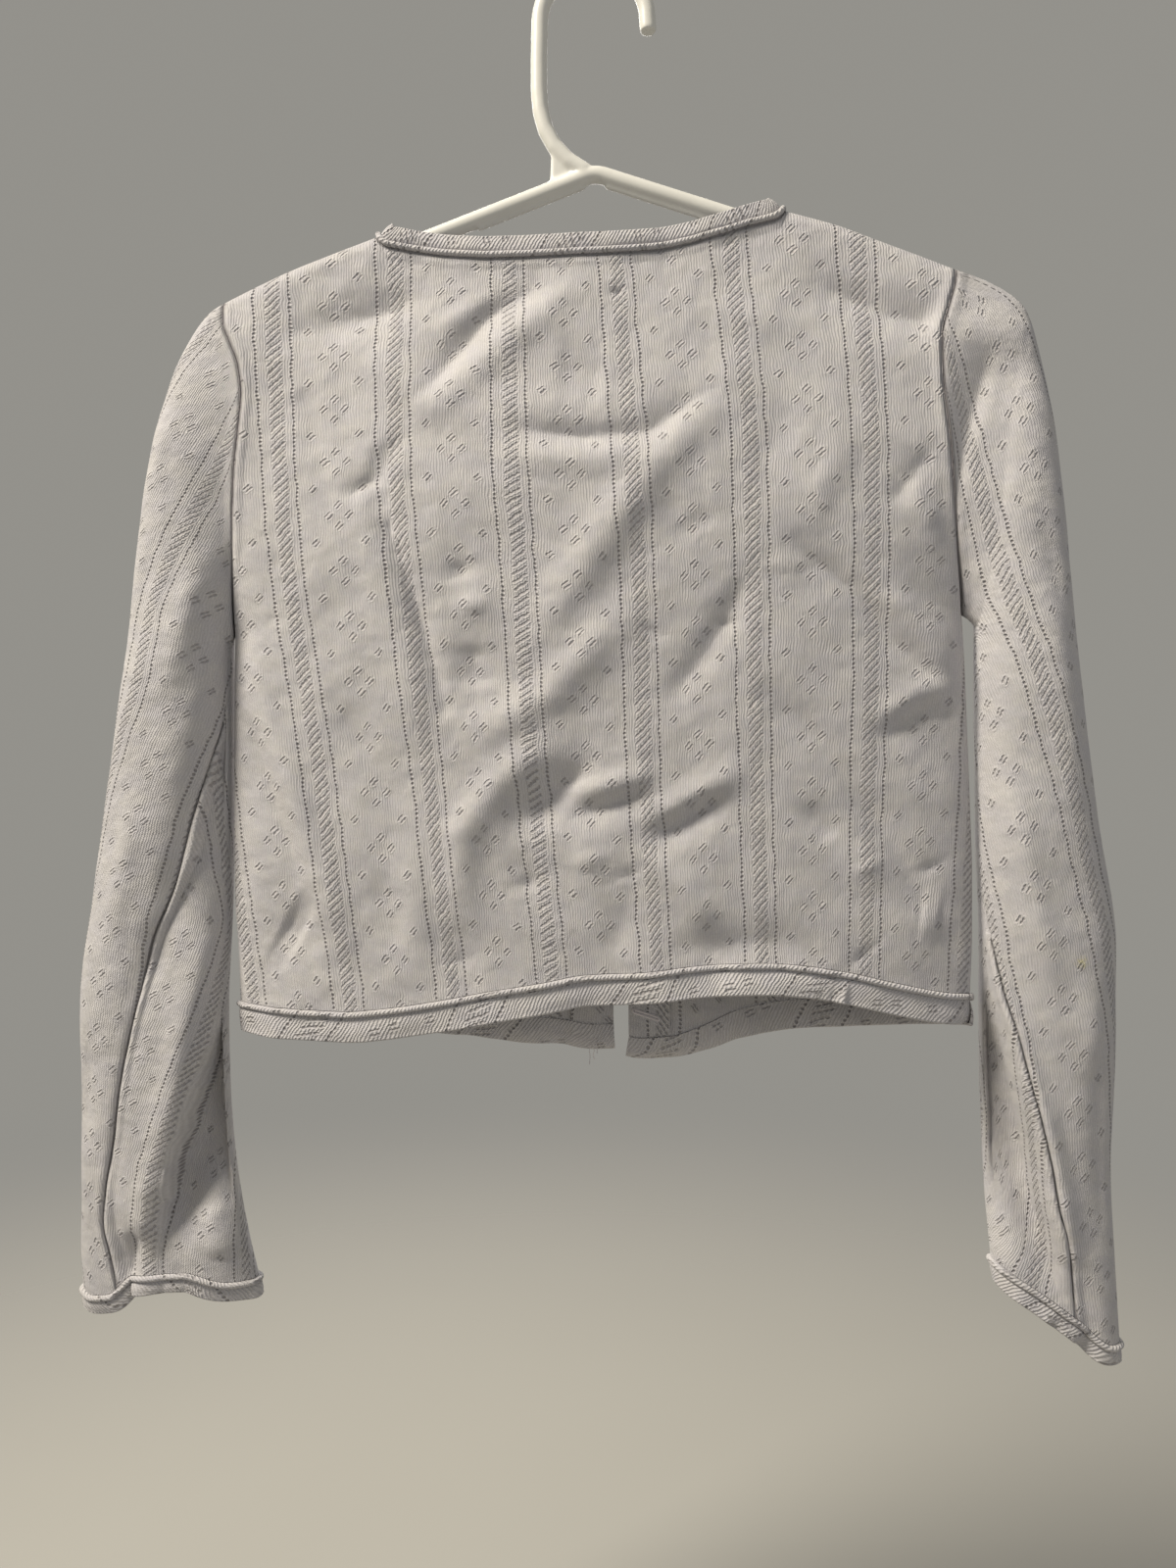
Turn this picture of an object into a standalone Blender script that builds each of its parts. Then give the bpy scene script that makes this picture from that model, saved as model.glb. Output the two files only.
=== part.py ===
"""Cropped pointelle cardigan hanging on a plastic tube hanger.

Metres, +Z up. The top of the hanger's hook rests at the origin. The cardigan's back faces +Y, its
front faces -Y, and +X is the wearer's left. The tables give millimetres, taken from the garment as
it hangs, and every cloth piece is a thin wall worked out from them.
"""
import math

import bmesh
import bpy
from mathutils import Vector

MM = 0.001

# Cloth
WALL = 1.8 * MM
SEAM_GAP = 0.3 * MM
BACK_DEPTH = 26.0 * MM
FRONT_DEPTH = 24.0 * MM
ARMHOLE_DEPTH = 13.5 * MM
SIDE_ROUNDNESS = 2.6
RIDGE_RADIUS = 6.3 * MM
SHOULDER_TILT = math.radians(20.0)
SHOULDER_SPREAD = 170.0 * MM
UNDERARM_ROW = 11
# Share of the way down over which the rows even out, below a shallow cut and below a deep one
ROW_REACH = (0.12, 0.82)
DEEP_CUT = 120.0 * MM
# Share of the way down over which crowded columns spread out
SPREAD_REACH = 0.3
# Folds fade out near the side seams and near the shoulders
FOLD_INSET = 15.0 * MM
FOLD_DROP = 14.0 * MM

# Sleeves: how round the section is along its width and across its depth, where it takes over from
# the armhole's shape, where the armhole's join ends and where the cuff's rise starts
SLEEVE_WIDTH_POWER = 0.92
SLEEVE_DEPTH_POWER = 0.8
SLEEVE_OWN_SHAPE = 0.5
SLEEVE_JOIN = 0.16
CUFF_START = 0.86
# Under the arm the sleeve stands off from the panels by a little more than its wall
LAP_START = 0.66
LAP_REACH = 0.26

# Bindings
NECK_BINDING = 11.5 * MM
HEM_BINDING = 16.0 * MM
CUFF_BINDING = 10.5 * MM
BINDING_HALF = 1.3 * MM
CORD_RADIUS = 1.5 * MM
# A flicked edge curls in small steps and has turned all the way before its lower edge
CURL_STEPS = 6
CURL_RATE = 1.4

# The facings are as wide as the two columns next to each front edge
FACING_WALL = 1.2 * MM

# Buttons
BUTTON_COUNT = 6
BUTTON_RADIUS = 5.6 * MM
BUTTON_HEIGHT = 2.2 * MM
BUTTON_INSET = 9.0
BUTTON_GAP = 0.6 * MM
BUTTON_SIDES = 12
# Lengths from the front edge's ends to the first and the last button
FIRST_BUTTON = 9.0 * MM
LAST_BUTTON = 12.0 * MM

# Hanger
TUBE_RADIUS = 4.4 * MM
HOOK_RADIUS = 28.0 * MM
TUBE_SIDES = 12
HANGER_HALF_WIDTH = 193.0 * MM
HANGER_BAR_Z = -197.0 * MM
HANGER_CORNER = 11.0 * MM
APEX_RADIUS = 14.0 * MM
APEX = (-1.0 * MM, -103.6 * MM)
ARM_SLOPE_LEFT = 0.366
ARM_SLOPE_RIGHT = 0.353
# The hook's stem below its arc, and the web between the stem and an arm: x, z in mm
STEM = (
    (28.4, -45.0), (28.3, -60.0), (27.4, -70.0), (24.8, -79.5), (20.0, -88.5), (13.0, -96.0),
    (4.0, -102.0),
)
WEB = ((21.5, -87.0), (23.0, -110.0), (6.0, -103.5), (12.0, -96.0))
WEB_HALF = 1.6 * MM
HOOK_TIP = 7.0 * MM

# Where the columns of the panels meet the shoulders and the neck, x in mm
LEFT_ARMHOLE_X = 194.0
RIGHT_ARMHOLE_X = -184.0
LEFT_NECK_X = 112.0
RIGHT_NECK_X = -96.0

# Side edges of the panels as they hang: z, x
LEFT_SIDE = (
    (-560, 185.5), (-534, 186.0), (-508, 187.0), (-480, 189.0), (-430, 189.6), (-380, 189.4),
    (-343, 189.0), (-300, 187.6), (-258, 185.6), (-234, 183.2), (-218, 182.0), (-202, 184.2),
    (-190, 189.0), (-180, 192.8), (-166, 194.0),
)
RIGHT_SIDE = (
    (-560, -191.0), (-527, -191.4), (-496, -192.4), (-467, -192.4), (-432, -191.4), (-395, -190.0),
    (-364, -188.8), (-336, -187.2), (-300, -183.4), (-250, -179.2), (-215, -175.6),
    (-196, -175.4), (-180, -179.2), (-168, -182.6), (-158, -184.0),
)

# Line of the shoulder seams, carried on through the open neck: x, z
RIDGE = (
    (-190, -162.4), (-184, -159.8), (-167, -152.7), (-147, -144.7), (-122, -134.8), (-96, -126.8),
    (-50, -111.5), (8, -96.0), (60, -115.5), (112, -134.3), (136, -142.8), (157, -150.6),
    (178, -159.8), (194, -167.5), (200, -170.4),
)

# Seam lines of the neck binding: x, z
BACK_NECK = (
    (-96.0, -126.8), (-95.2, -128.8), (-94, -130.9), (-91.5, -132.6), (-78, -135.8), (-63, -140.7),
    (-48, -144.8), (-26, -148.3), (-3, -149.7), (24, -149.9), (51, -149.5), (74, -147.5),
    (92, -144.2), (101, -142.4), (107, -140.9), (109.5, -138.8), (111, -136.5), (112.0, -134.3),
)
FRONT_NECK_LEFT = (
    (-1.5, -217), (12, -216), (35, -212), (58, -203), (78, -190), (92, -175), (101, -161),
    (107, -147), (109.5, -140.4), (111, -136.8), (112.0, -134.3),
)
FRONT_NECK_RIGHT = (
    (-96.0, -126.8), (-95.2, -129.0), (-94, -132.6), (-91.5, -140), (-87, -153), (-81, -167),
    (-71, -182), (-57, -196), (-38, -208), (-20, -214.5), (-9.5, -216.5),
)

# Lower edges of the panels, where the hem binding starts: x, z
BACK_HEM = (
    (-192, -526.5), (-172, -524.5), (-143, -518.5), (-119, -513), (-95, -509.6), (-76, -508.8),
    (-47, -510), (-18, -513.4), (11, -515), (31, -519), (60, -524), (80, -528), (113, -533.5),
    (135, -535.6), (169, -535.2), (187, -534),
)
FRONT_HEM_LEFT = (
    (-1.5, -549), (10, -549.4), (25, -547), (48, -545), (80, -540.5), (120, -537), (187, -534),
)
FRONT_HEM_RIGHT = (
    (-192, -526.5), (-151, -530), (-126, -532), (-100, -534), (-82, -536.8), (-67, -541),
    (-48, -550), (-33, -555), (-16, -556.4), (-9.5, -555.5),
)

# How far the hem binding flicks forward at the fronts' lower corners: x, degrees
HEM_FLICK_LEFT = ((-1.5, 42), (20, 38), (45, 28), (90, 8), (130, 0), (187, 0))
HEM_FLICK_RIGHT = ((-192, 0), (-110, 0), (-80, 10), (-60, 32), (-35, 55), (-9.5, 62))

# Folds of a panel: x1, z1, x2, z2, width, height. Height is outward from the garment.
BACK_FOLDS = (
    (147, -184, 90, -171, 12, -4.5),
    (34, -166, 84, -219, 8, -2.6),
    (14, -171, 81, -228, 10, 3.2),
    (14, -208, 4, -214, 24, -3.4),
    (34, -243, -29, -245, 8, -2.6),
    (-29, -245, -60, -222, 9, -2.4),
    (98, -244, 123, -274, 7, -2.4),
    (104, -276, 73, -384, 7, -3.0),
    (118, -290, 88, -384, 12, 2.4),
    (-65, -217, -15, -285, 9, 4.2),
    (-15, -285, 28, -352, 9, 4.2),
    (-10, -336, 53, -394, 11, 4.0),
    (62, -330, 58, -372, 12, -3.2),
    (127, -382, 95, -433, 11, -3.0),
    (180, -352, 127, -500, 11, 3.6),
    (176, -392, 150, -467, 6, -2.2),
    (158, -493, 148, -500, 20, -4.2),
    (33, -437, 3, -413, 11, -4.8),
    (28, -402, 65, -446, 11, 3.8),
    (65, -446, 65, -484, 11, 3.0),
    (6, -435, -28, -424, 8, -3.2),
    (-117, -166, -184, -187, 11, -4.2),
    (-104, -303, -175, -368, 9, -3.8),
    (-140, -318, -180, -356, 9, 3.0),
    (-84, -374, -142, -438, 10, -3.0),
    (-142, -438, -184, -503, 9, -3.0),
    (-76, -321, -41, -377, 12, -3.8),
    (-35, -446, -68, -425, 10, -3.6),
    (-28, -456, -60, -488, 9, 3.0),
    (-106, -433, -124, -448, 12, -2.8),
    (-52, -500, -101, -499, 12, -3.0),
    (-160, -486, -174, -490, 14, 3.2),
)
FRONT_FOLDS = (
    (150, -186, 98, -178, 12, -4.0),
    (96, -205, 66, -262, 10, 3.4),
    (70, -225, 52, -290, 9, -3.0),
    (150, -250, 88, -360, 12, 3.6),
    (120, -380, 60, -452, 11, -3.4),
    (176, -360, 130, -500, 12, 3.4),
    (88, -420, 34, -500, 12, 3.6),
    (46, -330, 16, -430, 11, -3.0),
    (-118, -172, -172, -190, 11, -4.0),
    (-82, -200, -56, -268, 10, 3.4),
    (-66, -300, -34, -392, 11, -3.2),
    (-170, -300, -96, -372, 11, 3.6),
    (-176, -380, -112, -452, 11, -3.4),
    (-120, -404, -66, -508, 12, 3.6),
    (-60, -440, -32, -520, 10, -3.0),
    (-160, -470, -178, -516, 12, 3.0),
)

# Sections of a sleeve from the armhole down: outer x, z; inner x, z; near depth; far depth
LEFT_SLEEVE = (
    (198, -168.0, 191.8, -344, 13, 13),
    (208, -175, 192.4, -345, 15, 15),
    (220, -201, 192.8, -347, 18, 18),
    (231, -238, 193.0, -350, 20, 20),
    (238, -282, 193.2, -356, 22, 23),
    (243, -328, 193.2, -368, 23, 26),
    (249, -376, 193.2, -390, 24, 28),
    (257, -430, 193.4, -436, 23, 28),
    (265, -485, 194.0, -488, 22, 27),
    (271, -533, 196.0, -533, 22, 27),
    (271, -582, 195.0, -580, 20, 26),
    (271, -630, 190.5, -628, 17, 24),
    (272, -662, 184.0, -660, 14, 20),
    (271, -686, 178.5, -680, 12, 16),
)
RIGHT_SLEEVE = (
    (-187.5, -160.6, -194.6, -337, 13, 13),
    (-203, -166, -195.2, -338, 15, 15),
    (-217, -178, -195.6, -340, 17, 17),
    (-225, -203, -195.8, -343, 19, 19),
    (-232, -240, -196.0, -348, 21, 22),
    (-237.5, -288, -196.2, -358, 23, 25),
    (-241.5, -338, -196.4, -374, 24, 27),
    (-246.5, -385, -196.6, -400, 24, 28),
    (-253.5, -440, -197.0, -446, 24, 28),
    (-262, -500, -199.0, -500, 23, 27),
    (-262, -555, -200.5, -550, 22, 26),
    (-260, -610, -202.0, -596, 20, 24),
    (-262, -655, -203.0, -634, 17, 20),
    (-265, -700, -203.5, -660, 13, 15),
)

# Folds of a sleeve's near side and of its far side: x1, z1, x2, z2, width, height
LEFT_SLEEVE_NEAR = (
    (206, -206, 196, -262, 9, -5.0),
    (202, -310, 216, -370, 9, 3.0),
    (191, -372, 206, -430, 8, -5.0),
    (206, -430, 234, -529, 8, -4.0),
    (234, -529, 251, -627, 7, -2.4),
    (251, -627, 246, -677, 6, -3.0),
    (200, -512, 220, -600, 9, 4.0),
    (196, -566, 212, -622, 10, -8.0),
    (212, -622, 220, -652, 9, -5.0),
    (200, -640, 192, -668, 10, 4.0),
    (237, -655, 243, -686, 6, -5.0),
    (262, -560, 264, -600, 9, -2.4),
)
LEFT_SLEEVE_FAR = (
    (214, -215, 204, -290, 10, -5.0),
    (236, -330, 222, -420, 10, 4.0),
    (206, -400, 232, -500, 10, -5.0),
    (244, -470, 226, -590, 10, 4.0),
    (204, -560, 218, -650, 10, -5.0),
)
RIGHT_SLEEVE_NEAR = (
    (-207, -214, -197, -270, 9, -5.5),
    (-186, -196, -216, -196, 12, 3.0),
    (-224, -330, -238, -420, 10, 3.0),
    (-206, -420, -226, -520, 8, 2.4),
    (-200, -506, -216, -560, 8, 4.0),
    (-216, -560, -238, -650, 8, 4.5),
    (-204, -548, -217, -606, 10, -8.0),
    (-217, -606, -226, -656, 9, -5.0),
    (-208, -620, -212, -664, 9, 3.0),
    (-250, -560, -252, -640, 10, -3.0),
)
RIGHT_SLEEVE_FAR = (
    (-208, -205, -200, -285, 10, -5.0),
    (-232, -320, -216, -420, 10, 4.0),
    (-206, -400, -224, -500, 10, -5.0),
    (-246, -480, -230, -600, 10, 4.0),
    (-214, -560, -222, -650, 10, -5.0),
)

# Cuff edges rise between their two ends on the near side: share of the width, rise in mm
LEFT_CUFF_RISE = ((0.0, 0.0), (0.08, -3.0), (0.2, -2.0), (0.32, 6.0), (0.6, 8.0), (0.85, 1.0), (1.0, 0.0))
RIGHT_CUFF_RISE = ((0.0, 0.0), (0.15, -4.0), (0.4, -1.0), (0.7, 0.0), (1.0, 0.0))

# How far the neck binding leans towards the middle behind the neck: x, degrees from upright
NECK_LEAN = (
    (-96.0, -70), (-94, -64), (-91.5, -52), (-80, -14), (-67, 0), (76, 0), (90, 12), (101, 36),
    (107, 54), (109.5, 62), (112, 70),
)

# Columns of the panels, x in mm at the shoulder
BACK_COLUMNS = (
    194, 192, 187.5, 179, 166, 152, 138, 124, 112, 111, 109.5, 107, 101, 90, 76, 60, 44, 28, 12, -4,
    -20, -36, -52, -67, -80, -91.5, -94, -95.2, -96, -108, -122, -137, -152, -165, -175, -181,
    -183.2, -184,
)
FRONT_LEFT_COLUMNS = (
    194, 192, 187.5, 179, 166, 152, 138, 124, 112, 111, 109.5, 107, 101, 92, 78, 62, 47, 33, 20.5,
    9.5, -1.5,
)
FRONT_RIGHT_COLUMNS = (
    -9.5, -20.5, -31.5, -45, -59, -71, -81, -87, -91.5, -94, -95.2, -96, -108, -122, -137, -152,
    -165, -175, -181, -183.2, -184,
)

# Below the shoulders the columns that crowd at the neck's corners spread out: x at the top, x lower
COLUMN_SPREAD = (
    (-184, -184), (-165, -165), (-137, -138.5), (-122, -126), (-108, -115), (-96, -105.5),
    (-95.2, -99), (-94, -92.5), (-91.5, -85.5), (-80, -75.5), (-67, -64.5), (-52, -52), (60, 60),
    (76, 73.5), (90, 84), (101, 92.5), (107, 100), (109.5, 106.5), (111, 113), (112, 120),
    (124, 129.5), (138, 141), (152, 153.5), (166, 166), (194, 194),
)

# Rows of the panels, as a share of the way from the top edge to the hem
ROWS = (
    0.0, 0.006, 0.017, 0.038, 0.07, 0.112, 0.162, 0.218, 0.28, 0.345, 0.412, 0.48,
    0.53, 0.58, 0.63, 0.68, 0.73, 0.78, 0.83, 0.88, 0.925, 0.965, 1.0,
)


def clamp(value, low=0.0, high=1.0):
    return max(low, min(high, value))


def ease(t):
    """A smooth step from 0 to 1."""
    t = clamp(t)
    return t * t * (3.0 - 2.0 * t)


def mix(a, b, t):
    return a + (b - a) * t


def slope_at(rows, i, column):
    """Slope of a smooth curve at one row, which keeps it from overshooting its rows."""
    if i == 0 or i == len(rows) - 1:
        j = min(i, len(rows) - 2)
        return (rows[j + 1][column] - rows[j][column]) / (rows[j + 1][0] - rows[j][0])
    before = (rows[i][column] - rows[i - 1][column]) / (rows[i][0] - rows[i - 1][0])
    after = (rows[i + 1][column] - rows[i][column]) / (rows[i + 1][0] - rows[i][0])
    if before * after <= 0.0:
        return 0.0
    return 2.0 * before * after / (before + after)


def read(rows, at, column=1):
    """Read a column of a table on a smooth curve. The first column rises from row to row."""
    if at <= rows[0][0]:
        return rows[0][column] + slope_at(rows, 0, column) * (at - rows[0][0])
    if at >= rows[-1][0]:
        return rows[-1][column] + slope_at(rows, len(rows) - 1, column) * (at - rows[-1][0])
    i = 0
    while rows[i + 1][0] < at:
        i += 1
    step = rows[i + 1][0] - rows[i][0]
    t = (at - rows[i][0]) / step
    start = rows[i][column]
    end = rows[i + 1][column]
    rise = step * slope_at(rows, i, column)
    fall = step * slope_at(rows, i + 1, column)
    return mix(start, end, ease(t)) + rise * t * (1.0 - t) ** 2 - fall * t * t * (1.0 - t)


def relief(rows, x, z):
    """Height of the folds at a place, all in mm. Each fold is a soft bar with round ends."""
    total = 0.0
    for x1, z1, x2, z2, width, height in rows:
        run_x = x2 - x1
        run_z = z2 - z1
        t = clamp(((x - x1) * run_x + (z - z1) * run_z) / (run_x ** 2 + run_z ** 2))
        gap = math.hypot(x - x1 - run_x * t, z - z1 - run_z * t)
        total += height * math.exp(-(gap / width) ** 2)
    return total


def arc_from_drop(drop):
    """Length along the cloth from the shoulder ridge, for a drop square to the ridge."""
    if drop < RIDGE_RADIUS:
        return RIDGE_RADIUS * math.acos(1.0 - clamp(drop / RIDGE_RADIUS))
    return RIDGE_RADIUS * (math.pi / 2.0 - 1.0) + drop


def drop_from_arc(arc):
    """The drop and the depth of the cloth that goes round the hanger's arm."""
    quarter = RIDGE_RADIUS * math.pi / 2.0
    if arc < quarter:
        angle = arc / RIDGE_RADIUS
        return RIDGE_RADIUS * (1.0 - math.cos(angle)), RIDGE_RADIUS * math.sin(angle)
    return RIDGE_RADIUS + arc - quarter, RIDGE_RADIUS


def top_line(face, x):
    """Height of a panel's top edge: the shoulder, or the neck's seam line between the shoulders."""
    if x >= LEFT_NECK_X or x <= RIGHT_NECK_X:
        return read(RIDGE, x)
    if face > 0:
        return read(BACK_NECK, x)
    return read(FRONT_NECK_LEFT if x > -5.0 else FRONT_NECK_RIGHT, x)


def hem_line(face, x):
    """Height of a panel's lower edge."""
    if face > 0:
        return read(BACK_HEM, x)
    return read(FRONT_HEM_LEFT if x > -5.0 else FRONT_HEM_RIGHT, x)


def share_of(x):
    """Where a column stands between the left side, 0, and the right side, 1."""
    return (LEFT_ARMHOLE_X - x) / (LEFT_ARMHOLE_X - RIGHT_ARMHOLE_X)


def side_depth(row):
    """Depth of the armhole's edge at a row. Below the underarm the side seam lies at depth 0."""
    a = row / ROWS[UNDERARM_ROW]
    if a <= 0.0 or a >= 1.0:
        return 0.0
    return ARMHOLE_DEPTH * (1.0 - abs(2.0 * a - 1.0) ** 2.4) ** 0.44


def hem_arc(face, x):
    """Length along the cloth from the shoulder ridge to the hem."""
    return arc_from_drop((read(RIDGE, x) - hem_line(face, x)) * MM * math.cos(SHOULDER_TILT))


def cloth_point(face, x, arc):
    """A point on the middle of the cloth. face is 1 for the back and -1 for the fronts."""
    share = share_of(x)
    tilt = math.cos(SHOULDER_TILT)
    drop, depth = drop_from_arc(arc)
    z = read(RIDGE, x) * MM - drop / tilt
    left = read(LEFT_SIDE, z / MM) * MM
    right = read(RIGHT_SIDE, z / MM) * MM
    place = mix(left, right, share)
    full = BACK_DEPTH if face > 0 else FRONT_DEPTH
    depth += (full - RIDGE_RADIUS) * ease(drop / SHOULDER_SPREAD)
    row = arc / hem_arc(face, x)
    armhole = ease((ROWS[UNDERARM_ROW] + 0.01 - row) / 0.05)
    nearness = min(share, 1.0 - share) * 2.0
    round_side = (1.0 - (1.0 - nearness) ** SIDE_ROUNDNESS) ** 0.5
    flat_side = 1.0 - (1.0 - nearness) ** 5
    edge = side_depth(row)
    depth = edge + (depth - edge) * mix(round_side, flat_side, armhole)
    rows = BACK_FOLDS if face > 0 else FRONT_FOLDS
    inset = min(abs(place - left), abs(place - right))
    calm = ease(inset / FOLD_INSET) * ease(drop / FOLD_DROP)
    depth += relief(rows, place / MM, z / MM) * MM * calm
    return Vector((place, face * depth, z))


def panel_place(face, x, row):
    """Where a panel's column and row lie on the cloth: x at that row, and the length from the ridge."""
    tilt = math.cos(SHOULDER_TILT)
    top_arc = arc_from_drop((read(RIDGE, x) - top_line(face, x)) * MM * tilt)
    reach = mix(ROW_REACH[0], ROW_REACH[1], clamp(top_arc / DEEP_CUT))
    low = read(COLUMN_SPREAD, x)
    here = mix(x, low, ease(row / SPREAD_REACH))
    arc = hem_arc(face, low) * row + top_arc * (1.0 - ease(row / reach))
    return here, arc


def panel_point(face, x, row):
    here, arc = panel_place(face, x, row)
    return cloth_point(face, here, arc)


def cloth_steps(face, here, arc):
    """Small steps across and down the cloth."""
    step = 0.4
    low_x = max(here - step, RIGHT_ARMHOLE_X)
    high_x = min(here + step, LEFT_ARMHOLE_X)
    across = cloth_point(face, high_x, arc) - cloth_point(face, low_x, arc)
    low_arc = max(arc - step * MM, 0.0)
    high_arc = min(arc + step * MM, hem_arc(face, here))
    down = cloth_point(face, here, high_arc) - cloth_point(face, here, low_arc)
    return across, down


def cloth_normal(face, here, arc):
    """Direction square to the cloth and away from the wearer."""
    across, down = cloth_steps(face, here, arc)
    normal = across.cross(down).normalized()
    if normal.y * face < 0.0:
        normal.negate()
    return normal


def panel_normal(face, x, row):
    """The cloth's direction out at a panel's point, kept in the seams' plane along their edges."""
    here, arc = panel_place(face, x, row)
    across, down = cloth_steps(face, here, arc)
    normal = cloth_normal(face, here, arc)
    on_side = x in (LEFT_ARMHOLE_X, RIGHT_ARMHOLE_X)
    if arc == 0.0:
        along = Vector((across.x, 0.0, across.z)).normalized()
        normal = Vector((-along.z, 0.0, along.x))
        if normal.z < 0.0:
            normal.negate()
    elif on_side and row >= ROWS[UNDERARM_ROW]:
        along = Vector((down.x, 0.0, down.z)).normalized()
        normal = Vector((along.z, 0.0, -along.x))
        if normal.x * x < 0.0:
            normal.negate()
    return normal


def make_material(name, colour, roughness, metallic=0.0):
    material = bpy.data.materials.new(name)
    material.use_nodes = True
    shader = material.node_tree.nodes["Principled BSDF"]
    shader.inputs["Base Color"].default_value = (*colour, 1.0)
    shader.inputs["Roughness"].default_value = roughness
    shader.inputs["Metallic"].default_value = metallic
    return material


def add_object(name, verts, faces, material):
    """Make one closed body with its faces pointing out."""
    mesh = bpy.data.meshes.new(name)
    mesh.from_pydata([tuple(v) for v in verts], [], faces)
    shape = bmesh.new()
    shape.from_mesh(mesh)
    bmesh.ops.recalc_face_normals(shape, faces=shape.faces[:])
    shape.to_mesh(mesh)
    shape.free()
    mesh.materials.append(material)
    mesh.shade_smooth()
    mesh.set_sharp_from_angle(angle=math.radians(50.0))
    obj = bpy.data.objects.new(name, mesh)
    bpy.context.scene.collection.objects.link(obj)
    return obj


def add_wall(name, points, normals, thickness, material, closed=False):
    """A cloth wall: the grid's points moved half the thickness both ways, with its rims closed."""
    rows = len(points)
    columns = len(points[0])
    verts = []
    for way in (0.5, -0.5):
        for i in range(rows):
            for j in range(columns):
                verts.append(points[i][j] + normals[i][j] * thickness * way)
    layer = rows * columns
    spans = columns if closed else columns - 1
    faces = []
    for i in range(rows - 1):
        for j in range(spans):
            k = (j + 1) % columns
            a, b = i * columns + j, i * columns + k
            c, d = (i + 1) * columns + k, (i + 1) * columns + j
            for p, q, r in ((a, b, c), (a, c, d)):
                faces.append((p, q, r))
                faces.append((layer + r, layer + q, layer + p))
    for i in (0, rows - 1):
        for j in range(spans):
            a = i * columns + j
            b = i * columns + (j + 1) % columns
            faces.append((a, b, layer + b, layer + a) if i else (b, a, layer + a, layer + b))
    if not closed:
        for j in (0, columns - 1):
            for i in range(rows - 1):
                a = i * columns + j
                b = (i + 1) * columns + j
                faces.append((a, b, layer + b, layer + a) if not j else (b, a, layer + a, layer + b))
    return add_object(name, verts, faces, material)


def binding_profile(height):
    """Section of a folded binding: distance from the seam, distance out. The cord lies at the seam."""
    half = BINDING_HALF
    cord = SEAM_GAP + CORD_RADIUS
    points = [(SEAM_GAP, -half), (SEAM_GAP, half * 0.6)]
    for step in range(3):
        angle = math.radians(160.0 - 60.0 * step)
        points.append((cord + CORD_RADIUS * math.cos(angle), half + CORD_RADIUS * math.sin(angle)))
    points.append((cord + CORD_RADIUS * 1.1, half))
    points.append((height - half * 0.7, half))
    points.append((height, 0.0))
    points.append((height - half * 0.7, -half))
    return points


def curl(along, up, hinge, height, flick):
    """Curl the part of a section past the hinge outward, a little at a time."""
    past = max(along - hinge, 0.0)
    bent = along - past
    raised = 0.0
    for k in range(CURL_STEPS):
        angle = flick * ease((k + 0.5) / CURL_STEPS * past / (height - hinge) * CURL_RATE)
        bent += past / CURL_STEPS * math.cos(angle)
        raised += past / CURL_STEPS * math.sin(angle)
    angle = flick * ease(past / (height - hinge) * CURL_RATE)
    return bent - up * math.sin(angle), raised + up * math.cos(angle)


def add_binding(name, path, height, material, closed=False):
    """Sweep a binding along a path of (point, outward direction, direction from the seam, flick)."""
    profile = binding_profile(height)
    hinge = SEAM_GAP + CORD_RADIUS * 2.2
    verts = []
    for point, out, away, flick in path:
        for along, up in profile:
            bent, raised = curl(along, up, hinge, height, flick)
            verts.append(point + away * bent + out * raised)
    sides = len(profile)
    rings = len(path)
    faces = []
    for i in range(rings if closed else rings - 1):
        k = (i + 1) % rings
        for j in range(sides):
            m = (j + 1) % sides
            faces.append((i * sides + j, i * sides + m, k * sides + m, k * sides + j))
    if not closed:
        faces.append(tuple(range(sides)))
        faces.append(tuple((rings - 1) * sides + j for j in reversed(range(sides))))
    return add_object(name, verts, faces, material)


def seam_trim(face, x, row, point):
    """Pull a panel's edge back from the seam, so that two panels stay a small gap apart."""
    trimmed = point.copy()
    on_side = x in (LEFT_ARMHOLE_X, RIGHT_ARMHOLE_X)
    at_shoulder = row == 0.0 and (x >= LEFT_NECK_X or x <= RIGHT_NECK_X)
    if at_shoulder or (on_side and row >= ROWS[UNDERARM_ROW]):
        trimmed.y += face * SEAM_GAP * 0.5
    elif on_side:
        trimmed.x -= math.copysign(SEAM_GAP * 0.5, x)
    return trimmed


def build_panel(name, face, columns, material):
    points = []
    normals = []
    for row in ROWS:
        line = []
        out = []
        for x in columns:
            point = panel_point(face, x, row)
            line.append(seam_trim(face, x, row, point))
            out.append(panel_normal(face, x, row))
        points.append(line)
        normals.append(out)
    return add_wall(name, points, normals, WALL, material)


def build_facing(name, stops, material):
    """A strip inside a front edge, made from the front's own points moved in."""
    inset = WALL * 0.5 + SEAM_GAP + FACING_WALL * 0.5
    points = []
    normals = []
    for row in ROWS[:-1] + (0.998,):
        out = [panel_normal(-1, x, row) for x in stops]
        points.append([panel_point(-1, x, row) - n * inset for x, n in zip(stops, out)])
        normals.append(out)
    return add_wall(name, points, normals, FACING_WALL, material)


def edge_frames(stops, row, down):
    """Frames along a panel edge. stops holds (face, x), and down is 1 below a hem, -1 at the neck."""
    points = [panel_point(face, x, row) for face, x in stops]
    frames = []
    for i, (face, x) in enumerate(stops):
        before = points[max(i - 1, 0)]
        after = points[min(i + 1, len(points) - 1)]
        along = (after - before).normalized()
        out = panel_normal(face, x, row)
        out = (out - along * out.dot(along)).normalized()
        away = out.cross(along) * -down
        frames.append((points[i], out, away.normalized()))
    return frames


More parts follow.
